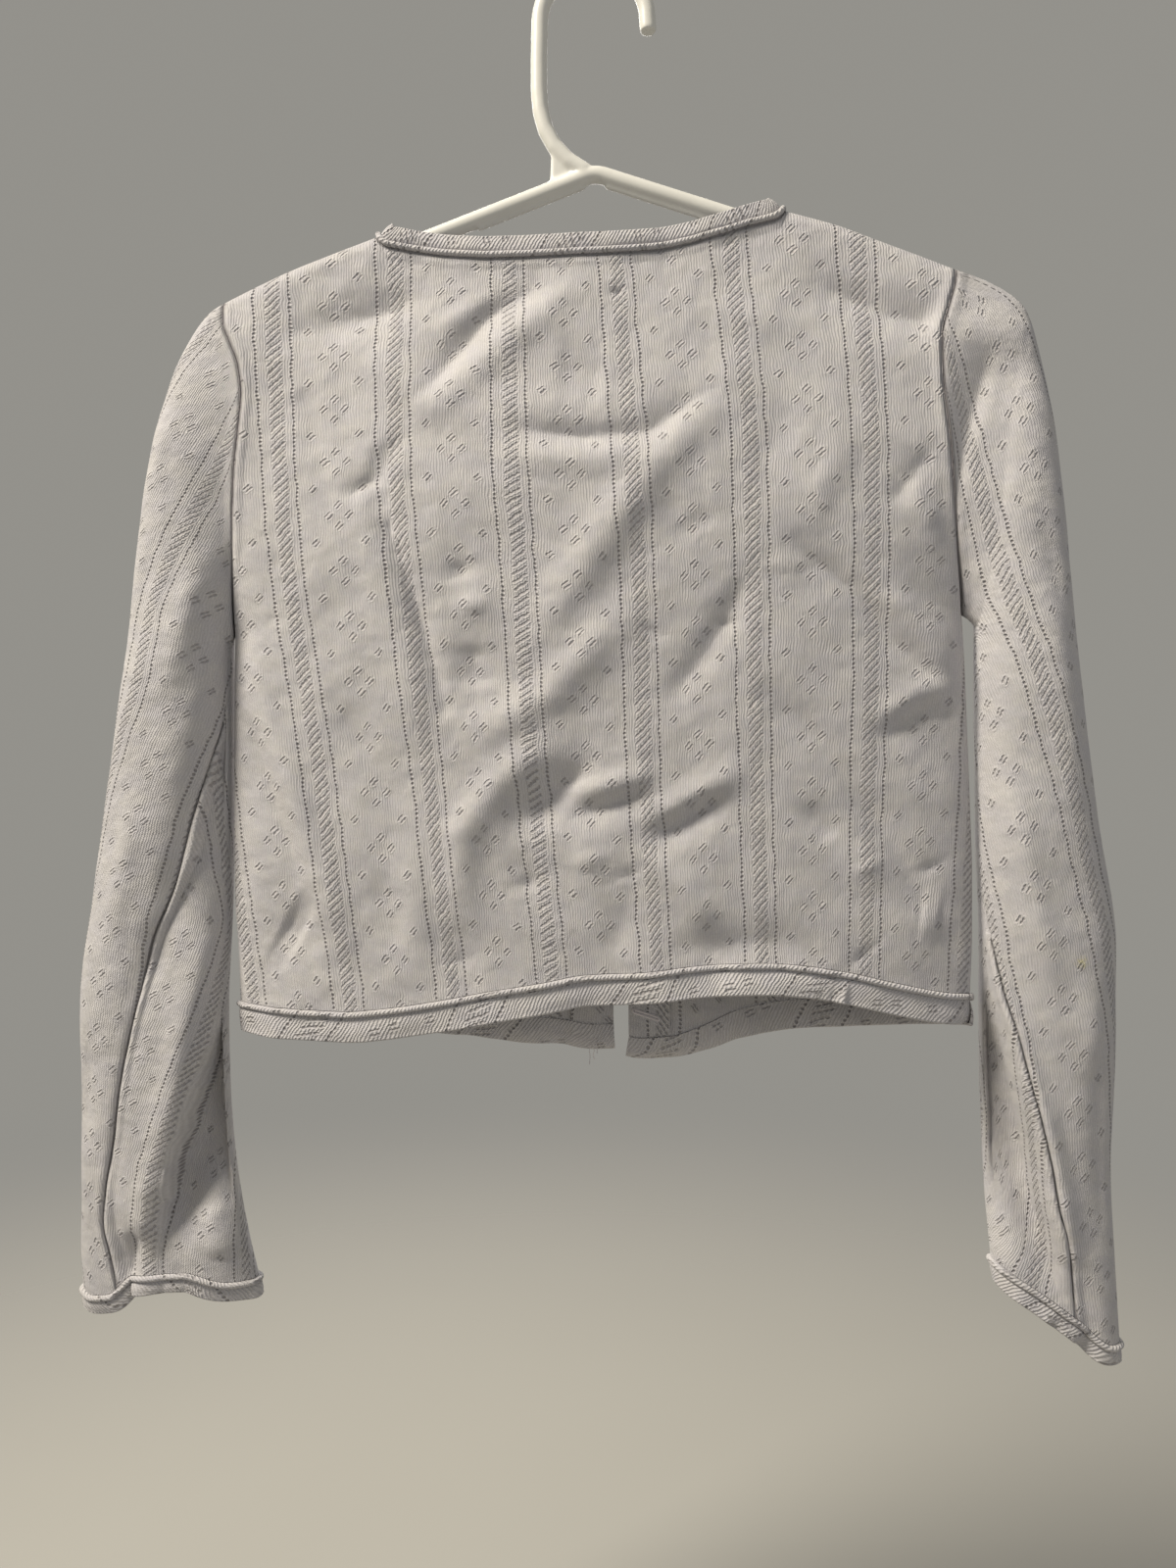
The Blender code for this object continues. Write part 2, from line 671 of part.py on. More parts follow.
def build_neck_binding(material):
    stops = [(-1, x) for x in reversed(FRONT_LEFT_COLUMNS) if x < LEFT_NECK_X]
    stops += [(1, x) for x in BACK_COLUMNS if RIGHT_NECK_X <= x <= LEFT_NECK_X]
    stops += [(-1, x) for x in reversed(FRONT_RIGHT_COLUMNS) if x > RIGHT_NECK_X]
    frames = []
    for (face, x), (point, out, away) in zip(stops, edge_frames(stops, 0.0, -1.0)):
        if face > 0:
            lean = math.radians(read(NECK_LEAN, x))
            away = Vector((-math.sin(lean), 0.0, math.cos(lean)))
        else:
            away = Vector((away.x, 0.0, away.z)).normalized()
        out = (out - away * out.dot(away)).normalized()
        frames.append((point, out, away, 0.0))
    return add_binding("neck_binding", frames, NECK_BINDING, material)


def build_hem_binding(material):
    stops = [(-1, x) for x in reversed(FRONT_LEFT_COLUMNS)]
    stops += [(1, x) for x in BACK_COLUMNS[1:-1]]
    stops += [(-1, x) for x in reversed(FRONT_RIGHT_COLUMNS)]
    frames = []
    for (face, x), (point, out, away) in zip(stops, edge_frames(stops, 1.0, 1.0)):
        flick = 0.0
        if face < 0:
            flick = read(HEM_FLICK_LEFT if x > -5.0 else HEM_FLICK_RIGHT, x)
        frames.append((point, out, away, math.radians(flick)))
    return add_binding("hem_binding", frames, HEM_BINDING, material)


def armhole_ring(side_x):
    """Points round an armhole from the shoulder down the back, under the arm and up the front."""
    ring = []
    for index in list(range(UNDERARM_ROW + 1)) + list(range(UNDERARM_ROW - 1, 0, -1)):
        face = 1 if len(ring) <= UNDERARM_ROW else -1
        ring.append(panel_point(face, side_x, ROWS[index]))
    return ring


def sleeve_value(rows, t, column):
    """A column of a sleeve's section table, with t running from 0 at the armhole to 1 at the cuff."""
    keyed = [(i / (len(rows) - 1), row[column]) for i, row in enumerate(rows)]
    return read(keyed, t)


def sleeve_point(spec, ring, t, j):
    """A point on the middle of a sleeve's cloth. j counts round the section from its outer edge."""
    count = len(ring)
    angle = 2.0 * math.pi * j / count
    fall = abs(ring[j].z - ring[0].z) / abs(ring[count // 2].z - ring[0].z)
    rows = spec["sections"]
    outer = Vector((sleeve_value(rows, t, 0) * MM, 0.0, sleeve_value(rows, t, 1) * MM))
    inner = Vector((sleeve_value(rows, t, 2) * MM, 0.0, sleeve_value(rows, t, 3) * MM))
    cosine = mix(1.0 - 2.0 * fall, math.cos(angle), ease(t / SLEEVE_OWN_SHAPE))
    sine = math.copysign((1.0 - min(cosine * cosine, 1.0)) ** 0.5, math.sin(angle))
    along = math.copysign(abs(cosine) ** SLEEVE_WIDTH_POWER, cosine)
    bulge = math.copysign(abs(sine) ** SLEEVE_DEPTH_POWER, sine)
    centre = (outer + inner) * 0.5
    point = centre + (outer - inner) * 0.5 * along
    depth = sleeve_value(rows, t, 4 if sine > 0.0 else 5) * MM
    point.y = bulge * depth
    folds = spec["near"] if sine > 0.0 else spec["far"]
    calm = ease(abs(sine) * 2.2)
    height = relief(folds, point.x / MM, point.z / MM) * MM * calm
    point.y += math.copysign(height, sine) if height >= 0.0 else -math.copysign(-height, sine)
    rise = read(spec["rise"], (1.0 - cosine) * 0.5) * MM
    near_share = ease(sine + 0.5)
    point.z += rise * near_share * ease((t - CUFF_START) / (1.0 - CUFF_START))
    join = 1.0 - ease(t / SLEEVE_JOIN)
    if join > 0.0:
        start = ring[j].copy()
        lap = SEAM_GAP * 0.6 + (WALL + SEAM_GAP) * 1.1 * ease((fall - LAP_START) / LAP_REACH)
        start.x += math.copysign(lap, start.x)
        point = mix(point, start, join)
    return point


def sleeve_rows(spec):
    """Ring positions from the armhole to the cuff, closer together round the sleeve head."""
    return [0.0, 0.05, 0.1, 0.15, 0.205, 0.265] + [mix(0.33, 1.0, i / 14.0) for i in range(15)]


def sleeve_grid(spec):
    ring = armhole_ring(spec["side_x"])
    count = len(ring)
    rows = sleeve_rows(spec)
    points = [[sleeve_point(spec, ring, t, j) for j in range(count)] for t in rows]
    normals = []
    for i, t in enumerate(rows):
        step = 0.004 if i else 0.03
        upper = max(t - step, 0.0)
        lower = min(t + step, 1.0)
        line = []
        centre = sum(points[i], Vector()) / count
        for j in range(count):
            down = sleeve_point(spec, ring, lower, j) - sleeve_point(spec, ring, upper, j)
            round_it = points[i][(j + 1) % count] - points[i][j - 1]
            normal = down.cross(round_it).normalized()
            line.append(normal)
        facing = sum(n.dot(p - centre) for n, p in zip(line, points[i]))
        if facing < 0.0:
            line = [-n for n in line]
        normals.append(line)
    for j in range(count):
        index = min(j, count - j)
        share = ease((index / UNDERARM_ROW - 0.6) / 0.3)
        panel = panel_normal(1 if j <= UNDERARM_ROW else -1, spec["side_x"], ROWS[index])
        normals[0][j] = mix(panel, normals[0][j], share).normalized()
    return points, normals


def build_sleeve(name, spec, material):
    points, normals = sleeve_grid(spec)
    return add_wall(name, points, normals, WALL, material, closed=True)


def build_cuff(name, spec, material):
    points, normals = sleeve_grid(spec)
    count = len(points[-1])
    frames = []
    for j in range(count):
        along = (points[-1][(j + 1) % count] - points[-1][j - 1]).normalized()
        out = normals[-1][j]
        out = (out - along * out.dot(along)).normalized()
        away = out.cross(along).normalized()
        if away.z > 0.0:
            away.negate()
        frames.append((points[-1][j], out, away, 0.0))
    return add_binding(name, frames, CUFF_BINDING, material, closed=True)


def build_button(name, x, arc, material):
    """A plain button with a raised rim and a dished middle, sewn flat on the front."""
    normal = cloth_normal(-1, x, arc)
    seat = cloth_point(-1, x, arc) + normal * (WALL * 0.5 + BUTTON_GAP)
    profile = (
        (0.0, 0.0), (BUTTON_RADIUS * 0.8, 0.0), (BUTTON_RADIUS, BUTTON_HEIGHT * 0.5),
        (BUTTON_RADIUS * 0.9, BUTTON_HEIGHT), (BUTTON_RADIUS * 0.68, BUTTON_HEIGHT * 0.9),
        (BUTTON_RADIUS * 0.55, BUTTON_HEIGHT * 0.6), (0.0, BUTTON_HEIGHT * 0.6),
    )
    turn = normal.to_track_quat("Z", "Y")
    verts = [seat, seat + normal * profile[-1][1]]
    rings = profile[1:-1]
    for radius, height in rings:
        for k in range(BUTTON_SIDES):
            angle = 2.0 * math.pi * k / BUTTON_SIDES
            local = Vector((radius * math.cos(angle), radius * math.sin(angle), height))
            verts.append(seat + turn @ local)
    faces = []
    for k in range(BUTTON_SIDES):
        n = (k + 1) % BUTTON_SIDES
        faces.append((0, 2 + n, 2 + k))
        last = 2 + (len(rings) - 1) * BUTTON_SIDES
        faces.append((1, last + k, last + n))
        for i in range(len(rings) - 1):
            low = 2 + i * BUTTON_SIDES
            high = low + BUTTON_SIDES
            faces.append((low + k, low + n, high + n, high + k))
    return add_object(name, verts, faces, material)


def add_tube(name, path, radius, material, closed=False):
    """A round tube along a path that lies in the hanger's plane."""
    verts = []
    count = len(path)
    for i, (x, z) in enumerate(path):
        before = path[i - 1] if closed or i else path[i]
        after = path[(i + 1) % count] if closed or i < count - 1 else path[i]
        along = Vector((after[0] - before[0], 0.0, after[1] - before[1])).normalized()
        side = Vector((along.z, 0.0, -along.x))
        for k in range(TUBE_SIDES):
            angle = 2.0 * math.pi * k / TUBE_SIDES
            offset = side * math.cos(angle) * radius + Vector((0.0, math.sin(angle) * radius, 0.0))
            verts.append(Vector((x, 0.0, z)) + offset)
    faces = []
    for i in range(count if closed else count - 1):
        n = (i + 1) % count
        for k in range(TUBE_SIDES):
            m = (k + 1) % TUBE_SIDES
            faces.append((i * TUBE_SIDES + k, i * TUBE_SIDES + m, n * TUBE_SIDES + m, n * TUBE_SIDES + k))
    if not closed:
        faces.append(tuple(range(TUBE_SIDES)))
        faces.append(tuple((count - 1) * TUBE_SIDES + k for k in reversed(range(TUBE_SIDES))))
    return add_object(name, verts, faces, material)


def arc(centre_x, centre_z, radius, start, end, steps):
    """Points on an arc, from one angle to another in degrees."""
    points = []
    for i in range(steps + 1):
        angle = math.radians(mix(start, end, i / steps))
        points.append((centre_x + radius * math.cos(angle), centre_z + radius * math.sin(angle)))
    return points


def hanger_loop():
    """Centre line of the arms and the lower bar, round at the three corners."""
    apex_x, apex_z = APEX
    left_angle = math.degrees(math.atan(ARM_SLOPE_LEFT))
    right_angle = math.degrees(math.atan(ARM_SLOPE_RIGHT))
    path = arc(apex_x, apex_z - APEX_RADIUS, APEX_RADIUS, 90.0 + right_angle, 90.0 - left_angle, 4)
    end_x = HANGER_HALF_WIDTH - HANGER_CORNER
    for way, slope, angle in ((1.0, ARM_SLOPE_LEFT, left_angle), (-1.0, ARM_SLOPE_RIGHT, right_angle)):
        arm_z = apex_z - slope * (end_x - way * apex_x)
        top = 90.0 - angle
        radius = (arm_z - HANGER_BAR_Z) / (1.0 + math.cos(math.radians(angle)))
        centre_z = HANGER_BAR_Z + radius
        corner = arc(0.0, 0.0, radius, top, -90.0, 7)
        corner = [(way * (end_x + x), centre_z + z) for x, z in corner]
        path += corner if way > 0.0 else list(reversed(corner))
    return path


def hook_path():
    """Centre line of the hook: its open end, over the top, down the stem and into the arm."""
    centre_z = TUBE_RADIUS - HOOK_RADIUS
    path = [(-HOOK_RADIUS * 1.02, centre_z - HOOK_TIP)]
    path += arc(0.0, centre_z, HOOK_RADIUS, 180.0, 0.0, 14)
    path += [(x * MM, z * MM) for x, z in STEM]
    return path


def build_hanger(material):
    """One moulded body: the loop of arms and bar, the hook's stem and a small web between them."""
    loop = add_tube("hanger", hanger_loop(), TUBE_RADIUS, material, closed=True)
    hook = add_tube("hanger_hook_tool", hook_path(), TUBE_RADIUS, material)
    web_verts = []
    for way in (1.0, -1.0):
        web_verts += [Vector((x * MM, WEB_HALF * way, z * MM)) for x, z in WEB]
    web_faces = [(0, 1, 2, 3), (7, 6, 5, 4)]
    web_faces += [(i, (i + 1) % 4, (i + 1) % 4 + 4, i + 4) for i in range(4)]
    web = add_object("hanger_web_tool", web_verts, web_faces, material)
    for tool in (hook, web):
        join = loop.modifiers.new(tool.name, "BOOLEAN")
        join.operation = "UNION"
        join.solver = "EXACT"
        join.object = tool
        tool.hide_render = True
        tool.display_type = "WIRE"
    return loop


SLEEVES = {
    "left": {
        "side_x": LEFT_ARMHOLE_X, "sections": LEFT_SLEEVE, "near": LEFT_SLEEVE_NEAR,
        "far": LEFT_SLEEVE_FAR, "rise": LEFT_CUFF_RISE,
    },
    "right": {
        "side_x": RIGHT_ARMHOLE_X, "sections": RIGHT_SLEEVE, "near": RIGHT_SLEEVE_NEAR,
        "far": RIGHT_SLEEVE_FAR, "rise": RIGHT_CUFF_RISE,
    },
}


def clear_scene():
    for obj in list(bpy.data.objects):
        bpy.data.objects.remove(obj, do_unlink=True)


def main():
    clear_scene()
    knit = make_material("pointelle_knit", (0.62, 0.58, 0.60), 0.9)
    bias_knit = make_material("bias_knit", (0.64, 0.60, 0.61), 0.9)
    button_plastic = make_material("button_plastic", (0.70, 0.67, 0.66), 0.35)
    hanger_plastic = make_material("hanger_plastic", (0.86, 0.85, 0.82), 0.4)

    build_panel("back", 1, BACK_COLUMNS, knit)
    build_panel("front_left", -1, FRONT_LEFT_COLUMNS, knit)
    build_panel("front_right", -1, FRONT_RIGHT_COLUMNS, knit)
    for side, spec in SLEEVES.items():
        build_sleeve("sleeve_" + side, spec, knit)
        build_cuff("cuff_binding_" + side, spec, bias_knit)
    build_neck_binding(bias_knit)
    build_hem_binding(bias_knit)
    build_facing("facing_left", FRONT_LEFT_COLUMNS[-3:], knit)
    build_facing("facing_right", FRONT_RIGHT_COLUMNS[:3], knit)
    button_x = FRONT_LEFT_COLUMNS[-1] + BUTTON_INSET
    first = panel_place(-1, button_x, 0.0)[1] + FIRST_BUTTON
    last = hem_arc(-1, button_x) - LAST_BUTTON
    for i in range(BUTTON_COUNT):
        down = mix(first, last, i / (BUTTON_COUNT - 1))
        build_button("button_" + str(i + 1), button_x, down, button_plastic)
    build_hanger(hanger_plastic)


main()
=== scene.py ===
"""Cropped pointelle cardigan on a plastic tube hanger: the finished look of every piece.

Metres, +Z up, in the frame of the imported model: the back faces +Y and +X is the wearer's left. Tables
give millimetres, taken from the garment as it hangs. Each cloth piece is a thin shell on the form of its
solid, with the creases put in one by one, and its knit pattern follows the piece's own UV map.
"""

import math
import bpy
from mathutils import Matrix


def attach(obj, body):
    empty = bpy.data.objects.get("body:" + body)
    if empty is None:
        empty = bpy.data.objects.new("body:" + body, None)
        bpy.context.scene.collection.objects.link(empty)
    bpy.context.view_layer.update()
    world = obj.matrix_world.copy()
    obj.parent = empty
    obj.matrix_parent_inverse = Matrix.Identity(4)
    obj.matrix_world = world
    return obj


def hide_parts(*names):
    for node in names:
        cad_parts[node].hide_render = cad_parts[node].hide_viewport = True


bl_info = {
    "name": "Pointelle cardigan on a hanger",
    "version": (1, 0, 0),
    "blender": (4, 5, 0),
    "location": "3D View > Sidebar > Cardigan",
    "description": "Knit panels, sleeves, bias bindings, buttons and the hanger of a cropped cardigan",
    "category": "Add Mesh",
}

import bmesh
import bpy
import numpy as np
from bpy.props import FloatProperty, FloatVectorProperty, PointerProperty
from bpy.types import Operator, Panel, PropertyGroup
from mathutils import Matrix, Vector

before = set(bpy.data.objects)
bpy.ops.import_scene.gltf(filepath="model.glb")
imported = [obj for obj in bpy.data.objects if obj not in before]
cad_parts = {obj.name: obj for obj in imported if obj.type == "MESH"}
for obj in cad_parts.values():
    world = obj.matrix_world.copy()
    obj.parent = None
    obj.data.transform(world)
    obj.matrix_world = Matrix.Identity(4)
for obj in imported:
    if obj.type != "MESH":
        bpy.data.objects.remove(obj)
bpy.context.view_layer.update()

MM = 0.001

# How the cloth hangs from the hanger's arms: lengths in mm, rows as shares of a panel's length
BACK_DEPTH = 26.0
FRONT_DEPTH = 24.0
ARMHOLE_DEPTH = 13.5
UPPER_ARMHOLE_CURVE = (2.4, 0.44)
LOWER_ARMHOLE_CURVE = (1.7, 0.9)
ARMHOLE_PAST = 0.05
ARMHOLE_BLEND = 0.3
SIDE_ROUNDNESS = 2.6
SIDE_FLATNESS = 5
RIDGE_RADIUS = 6.3
SHOULDER_TILT = math.cos(math.radians(20.0))
SHOULDER_SPREAD = 170.0
UNDERARM = 0.48
ROW_REACH = (0.12, 0.82)
DEEP_CUT = 120.0
SPREAD_REACH = 0.3
FOLD_INSET = 12.0
FOLD_DROP = 12.0
NORMAL_STEP = 0.4

# Creases: how sharp their troughs and ridges are, and how they fade in and out along their length
TROUGH_SHARPNESS = 1.55
SWELL_SHARPNESS = 2.0
CREASE_END = 0.45
CREASE_FADE = 2.0

# Heights in mm of the slight unevenness of worn cloth, on its larger and its smaller scale
SOFT_RIPPLE = 0.30
FINE_RIPPLE = 0.16

# Sleeves: how round their sections are, and the shares of their length where the parts blend
SLEEVE_WIDTH_POWER = 0.92
SLEEVE_DEPTH_POWER = 0.8
SLEEVE_OWN_SHAPE = 0.5
SLEEVE_JOIN = 0.16
SLEEVE_CALM = 2.2
CUFF_START = 0.86
CUFF_RISE_ROUND = 0.5
LAP_START = 0.66
LAP_REACH = 0.26

# Where a sleeve meets the body and where its two sides lie near each other, in mm
SLEEVE_GAP = 0.18
SEAM_LAP = 0.9
SIDES_APART = 3.2
SIDE_BLEND = 24.0

# A sleeve's pattern: how round the sleeve is taken to be, its slant, its repeat in mm and the repeats round
SLEEVE_ROUNDNESS = 0.62
SECTION_STEPS = 91
SLEEVE_SLANT = math.radians(12.0)
SLEEVE_REPEAT = 56.0
SLEEVE_REPEATS_ROUND = 3

# A sleeve's long seam: how columns crowd at it, how far it is drawn in, in mm, and where it shows
SEAM_CROWD = 0.72
SEAM_SINK = 1.5
SEAM_SINK_REACH = 1.2
SEAM_SHOWN = 0.05
SEAM_FADE_ROWS = 6.0
NO_SEAM = 60.0

# Where a sleeve folds back under itself: how sharply it turns, the floor behind it, how far it returns
LAP_TURN = 3.6
LAP_EARLY = 0.5
LAP_FLOOR = (6.0, 24.0)
LAP_RETURN = 0.45
FOLD_GIRTH = 158.0
FOLD_STRIP = 3.0
FOLD_FLOOR = (6.0, 26.0)
FOLD_RETURN = 0.3
FOLD_SAG = 0.55

# Bindings, in mm
SEAM_GAP = 0.3
SEAM_MERGE = 0.002
NECK_BINDING = 11.5
HEM_BINDING = 16.0
CUFF_BINDING = 10.5
NECK_SMOOTHING = 40

# Section of a binding: cord radii to its flat face and to the line where it curls, and how it swells
FACE_START = 1.25
CURL_HINGE = 2.2
FACE_POINTS = 7
FACE_SUNK = 0.3
FACE_SWELL = 0.5
BACK_SWELL = 1.1
CURL_STEPS = 6
CURL_RATE = 1.4

# Slight waves along a binding: height and length in mm, and how they drift over its width
BINDING_WAVES = ((0.22, 17.0, 0.4), (0.12, 6.3, -0.3))

# Knit cut on the bias: its angle, how far it is pulled, and how much more its ribs stand out, in relief and
# in painted shade
BIAS = math.radians(33.0)
BIAS_STRETCH = 1.25
BIAS_RIBS = 1.8

# The knit's repeat: from one pair of ladder lines to the next, and from one diamond to the next
REPEAT = 58.0
DIAMOND_PITCH = 28.1
FIRST_DIAMOND_Z = -227.7
FRONT_PAIR_X = 29.0
OUTER_REPEATS = 9.0

# Mesh fineness: rows and columns of each piece, and points along the left front, the back and the right
BACK_GRID = (214, 214)
FRONT_GRID = (190, 112)
SLEEVE_GRID = (232, 132)
CUFF_GRID = (60, 181)
FACING_GRID = (150, 16)
NECK_STOPS = (150, 260, 140)
HEM_STOPS = (170, 330, 160)
PANEL_ROW_POWER = 1.25
SLEEVE_ROW_POWER = 1.08

# Where the panels meet the shoulders and the neck, x in mm
LEFT_ARMHOLE_X = 194.0
RIGHT_ARMHOLE_X = -184.0
LEFT_NECK_X = 112.0
RIGHT_NECK_X = -96.0
LEFT_EDGE_X = -1.5
RIGHT_EDGE_X = -9.5
FRONTS_MEET_X = -5.0
NECK_CORNERS = (112.0, 111.0, 109.5, 107.0, -91.5, -94.0, -95.2, -96.0)

# Buttons, in mm and degrees. The dish is worked in steps of inset and drop.
BUTTON_COUNT = 6
BUTTON_RADIUS = 5.6
BUTTON_HEIGHT = 2.2
BUTTON_DISH = ((1.0, 0.15), (0.7, 0.55), (0.9, 0.12))
BUTTON_EDGE = 0.42
BUTTON_EDGE_ANGLE = 28.0
HOLE_OFFSET = 1.15
HOLE_RADIUS = 0.62
DRILL_LENGTH = 8.0
BUTTON_INSET = 9.0
BUTTON_LIFT = 1.5
BUTTON_TURN = 7.0
FIRST_BUTTON = 9.0
LAST_BUTTON = 12.0

# Sewing thread, in mm: three strands over each pair of holes, flat above the button and deep below
THREAD_RADIUS = 0.17
THREAD_PITCH = 0.3
THREAD_HEIGHT = 1.15
THREAD_FLAT = 0.38
THREAD_DEEP = 1.1
LOOSE_THREAD_RADIUS = 0.22

# Buttonholes, in mm: the slit, then the stitches side by side round it
BUTTONHOLE_INSET = 10.0
BUTTONHOLE_LENGTH = 12.0
BUTTONHOLE_WIDTH = 0.8
STITCHES = 96
STITCH_RINGS = 4
STITCH_SIDES = 6
STITCH_REACH = 0.75
STITCH_THICK = 0.42
STITCH_SWELL = 0.14
STITCH_LIFT = 0.8
STITCH_GAP = 0.1

# Facings, in mm, and the share of the front's length that they cover
FACING_WIDTH = 22.0
FACING_WALL = 1.0
FACING_INSET = 1.8
FACING_LENGTH = 0.998

# The knit's chart, in mm: ladder lines, lace between them, eyelets of a diamond and of a cross
LADDER_HALF = 8.6
LADDER_PITCH = 2.2
LACE_COLUMNS = 4
LACE_COLUMN = 1.8
LACE_PITCH = 3.9
LACE_STAGGER = 0.45
LACE_LARGER = 0.12
LACE_ASIDE = 0.6
DIAMOND_HALF = 5.4
CROSS_OFFSET = 12.4
CLUSTER_HALF = 1.35
STITCH_PITCH = 1.1
EYELET_ROUND = 1.1
EYELET_SLANT = 1.44
# Share of the painted shade in the holes that the lace and diamond eyelets get, against the pinholes' full
# share
OPENWORK_SHADE = 0.7

# Edges that fade, from and to: of holes and their rims in eyelet radii, of the lace in its columns, and
# of the gutter beside a ladder, of a sewn seam and of the roll beside it in mm
HOLE_EDGE = (0.3, 1.2)
RIM_EDGES = (0.9, 1.5, 2.4)
LACE_EDGE = (1.5, 2.1)
GUTTER_EDGE = (0.3, 1.5)
SEWN_EDGE = (0.3, 1.3)
ROLL_START = (0.8, 2.2)
ROLL_END = (3.0, 7.0)

# Unevenness of the knit: scale and width in mm of the slow pull and of the quick waver
PULL = (0.09, 3.2)
WAVER = (0.45, 0.8)
EYELET_UNEVENNESS = 0.2

# Painted shade of each part of the knit (painted highlight where below 0), and its height in shares of the
# bump's depth
# RIB_SHADE, HOLE_SHADE and SEWN_SHADE are painted shade in the rib grooves, in the eyelets and pinholes, and
# along sewn seams
RIB_SHADE = 0.09
HOLE_SHADE = 0.78
SEWN_SHADE = 0.65
# Painted shade in the gutters beside the ladders, painted highlight on the raised eyelet rims and on the
# lace, and painted highlight and shade by turns along the lace's slanted strokes
SHADES = {"gutter": 0.04, "rim": -0.07, "lace": -0.04, "strokes": -0.05}
HEIGHTS = {
    "sewn": -1.5, "rolled": 0.9, "rib": 0.14, "stitch": 0.05, "strokes": 0.2, "lace": 0.3,
    "rim": 0.2, "hole": -1.1, "gutter": -0.25, "marl": 0.25,
}
KNIT_BUMP = 0.75

# Shades of a colour, as shares of it or of its red, green and blue
YARN_DARK = 0.88
YARN_LIGHT = 1.11
YARN_WARM = (1.07, 1.05, 0.99)
YARN_COOL = (0.92, 0.91, 0.95)
BUTTON_CLOUD = 0.93
THREAD_DARK = 0.86
HANGER_CLOUD = 0.955
FLOOR_PALE = 0.36
FLOOR_PATCH = 0.985

# Hanger, in mm
HOOK_RADIUS = 28.0
HANGER_HALF_WIDTH = 193.0
HANGER_BAR_Z = -197.0
HANGER_CORNER = 11.0
APEX_RADIUS = 14.0
APEX = (-1.0, -103.6)
ARM_SLOPE_LEFT = 0.366
ARM_SLOPE_RIGHT = 0.353
HOOK_TIP = 7.0
HOOK_SPREAD = 1.02
HOOK_STEPS = 28
APEX_STEPS = 8
CORNER_STEPS = 14
TUBE_SIDES = 20
STEM = (
    (28.4, -45.0), (28.3, -60.0), (27.4, -70.0), (24.8, -79.5), (20.0, -88.5), (13.0, -96.0),
    (4.0, -102.0),
)
WEB = ((21.5, -87.0), (23.0, -110.0), (6.0, -103.5), (12.0, -96.0))
WEB_HALF = 1.6
ARM_RIDGES = (
    ((4.0, -106.0), (60.0, -126.5), (60.0, -131.5), (4.0, -111.0)),
    ((-6.0, -106.0), (-60.0, -125.0), (-60.0, -130.0), (-6.0, -111.0)),
)
RIDGE_HALF = 1.1
HANGER_VOXEL = 0.95
HANGER_SOFTENING = (0.5, 8)

# Camera: where the photograph was taken from, its heading from -Y, its lens and its sensor
CAMERA_PLACE = (-0.0345, 0.61, -0.420)
CAMERA_HEADING = math.radians(3.5)
CAMERA_LENS = 27.0
CAMERA_SENSOR = 36.0

# Floor, in metres: its radius and how far it is solid, then the share of its radius where it has faded
FLOOR_RADIUS = 1.9
FLOOR_SOLID = 0.35
FLOOR_FADED = 0.9

# Lights: name, the setting of its power and the share of it, place, size and colour
LIGHTS = (
    ("Key above", "key_power", 1.0, (1.485, 0.918, 1.611), 0.8, (1.0, 0.93, 0.80)),
    ("Fill beside", "fill_power", 1.0, (-1.1, 1.3, -0.1), 1.2, (0.86, 0.91, 1.0)),
    ("Front fill", "key_power", 0.19, (0.4, -1.5, 0.6), 1.4, (1.0, 0.97, 0.92)),
)
LIT_PLACE = (0.0, 0.0, -0.36)

# Side edges of the panels as they hang: z, x
LEFT_SIDE = (
    (-560, 185.5), (-534, 186.0), (-508, 187.0), (-480, 189.0), (-430, 189.6), (-380, 189.4),
    (-343, 189.0), (-300, 187.6), (-258, 185.6), (-234, 183.2), (-218, 182.0), (-202, 184.2),
    (-190, 189.0), (-180, 192.8), (-166, 194.0),
)
RIGHT_SIDE = (
    (-560, -191.0), (-527, -191.4), (-496, -192.4), (-467, -192.4), (-432, -191.4), (-395, -190.0),
    (-364, -188.8), (-336, -187.2), (-300, -183.4), (-250, -179.2), (-215, -175.6),
    (-196, -175.4), (-180, -179.2), (-168, -182.6), (-158, -184.0),
)

# Line of the shoulder seams, carried on through the open neck: x, z
RIDGE = (
    (-190, -162.4), (-184, -159.8), (-167, -152.7), (-147, -144.7), (-122, -134.8), (-96, -126.8),
    (-50, -111.5), (8, -96.0), (60, -115.5), (112, -134.3), (136, -142.8), (157, -150.6),
    (178, -159.8), (194, -167.5), (200, -170.4),
)

# Seam lines of the neck binding: x, z
BACK_NECK = (
    (-96.0, -126.8), (-95.2, -128.8), (-94, -130.9), (-91.5, -132.6), (-78, -135.8), (-63, -140.7),
    (-48, -144.8), (-26, -148.3), (-3, -149.7), (24, -149.9), (51, -149.5), (74, -147.5),
    (92, -144.2), (101, -142.4), (107, -140.9), (109.5, -138.8), (111, -136.5), (112.0, -134.3),
)
FRONT_NECK_LEFT = (
    (-1.5, -217), (12, -216), (35, -212), (58, -203), (78, -190), (92, -175), (101, -161),
    (107, -147), (109.5, -140.4), (111, -136.8), (112.0, -134.3),
)
FRONT_NECK_RIGHT = (
    (-96.0, -126.8), (-95.2, -129.0), (-94, -132.6), (-91.5, -140), (-87, -153), (-81, -167),
    (-71, -182), (-57, -196), (-38, -208), (-20, -214.5), (-9.5, -216.5),
)

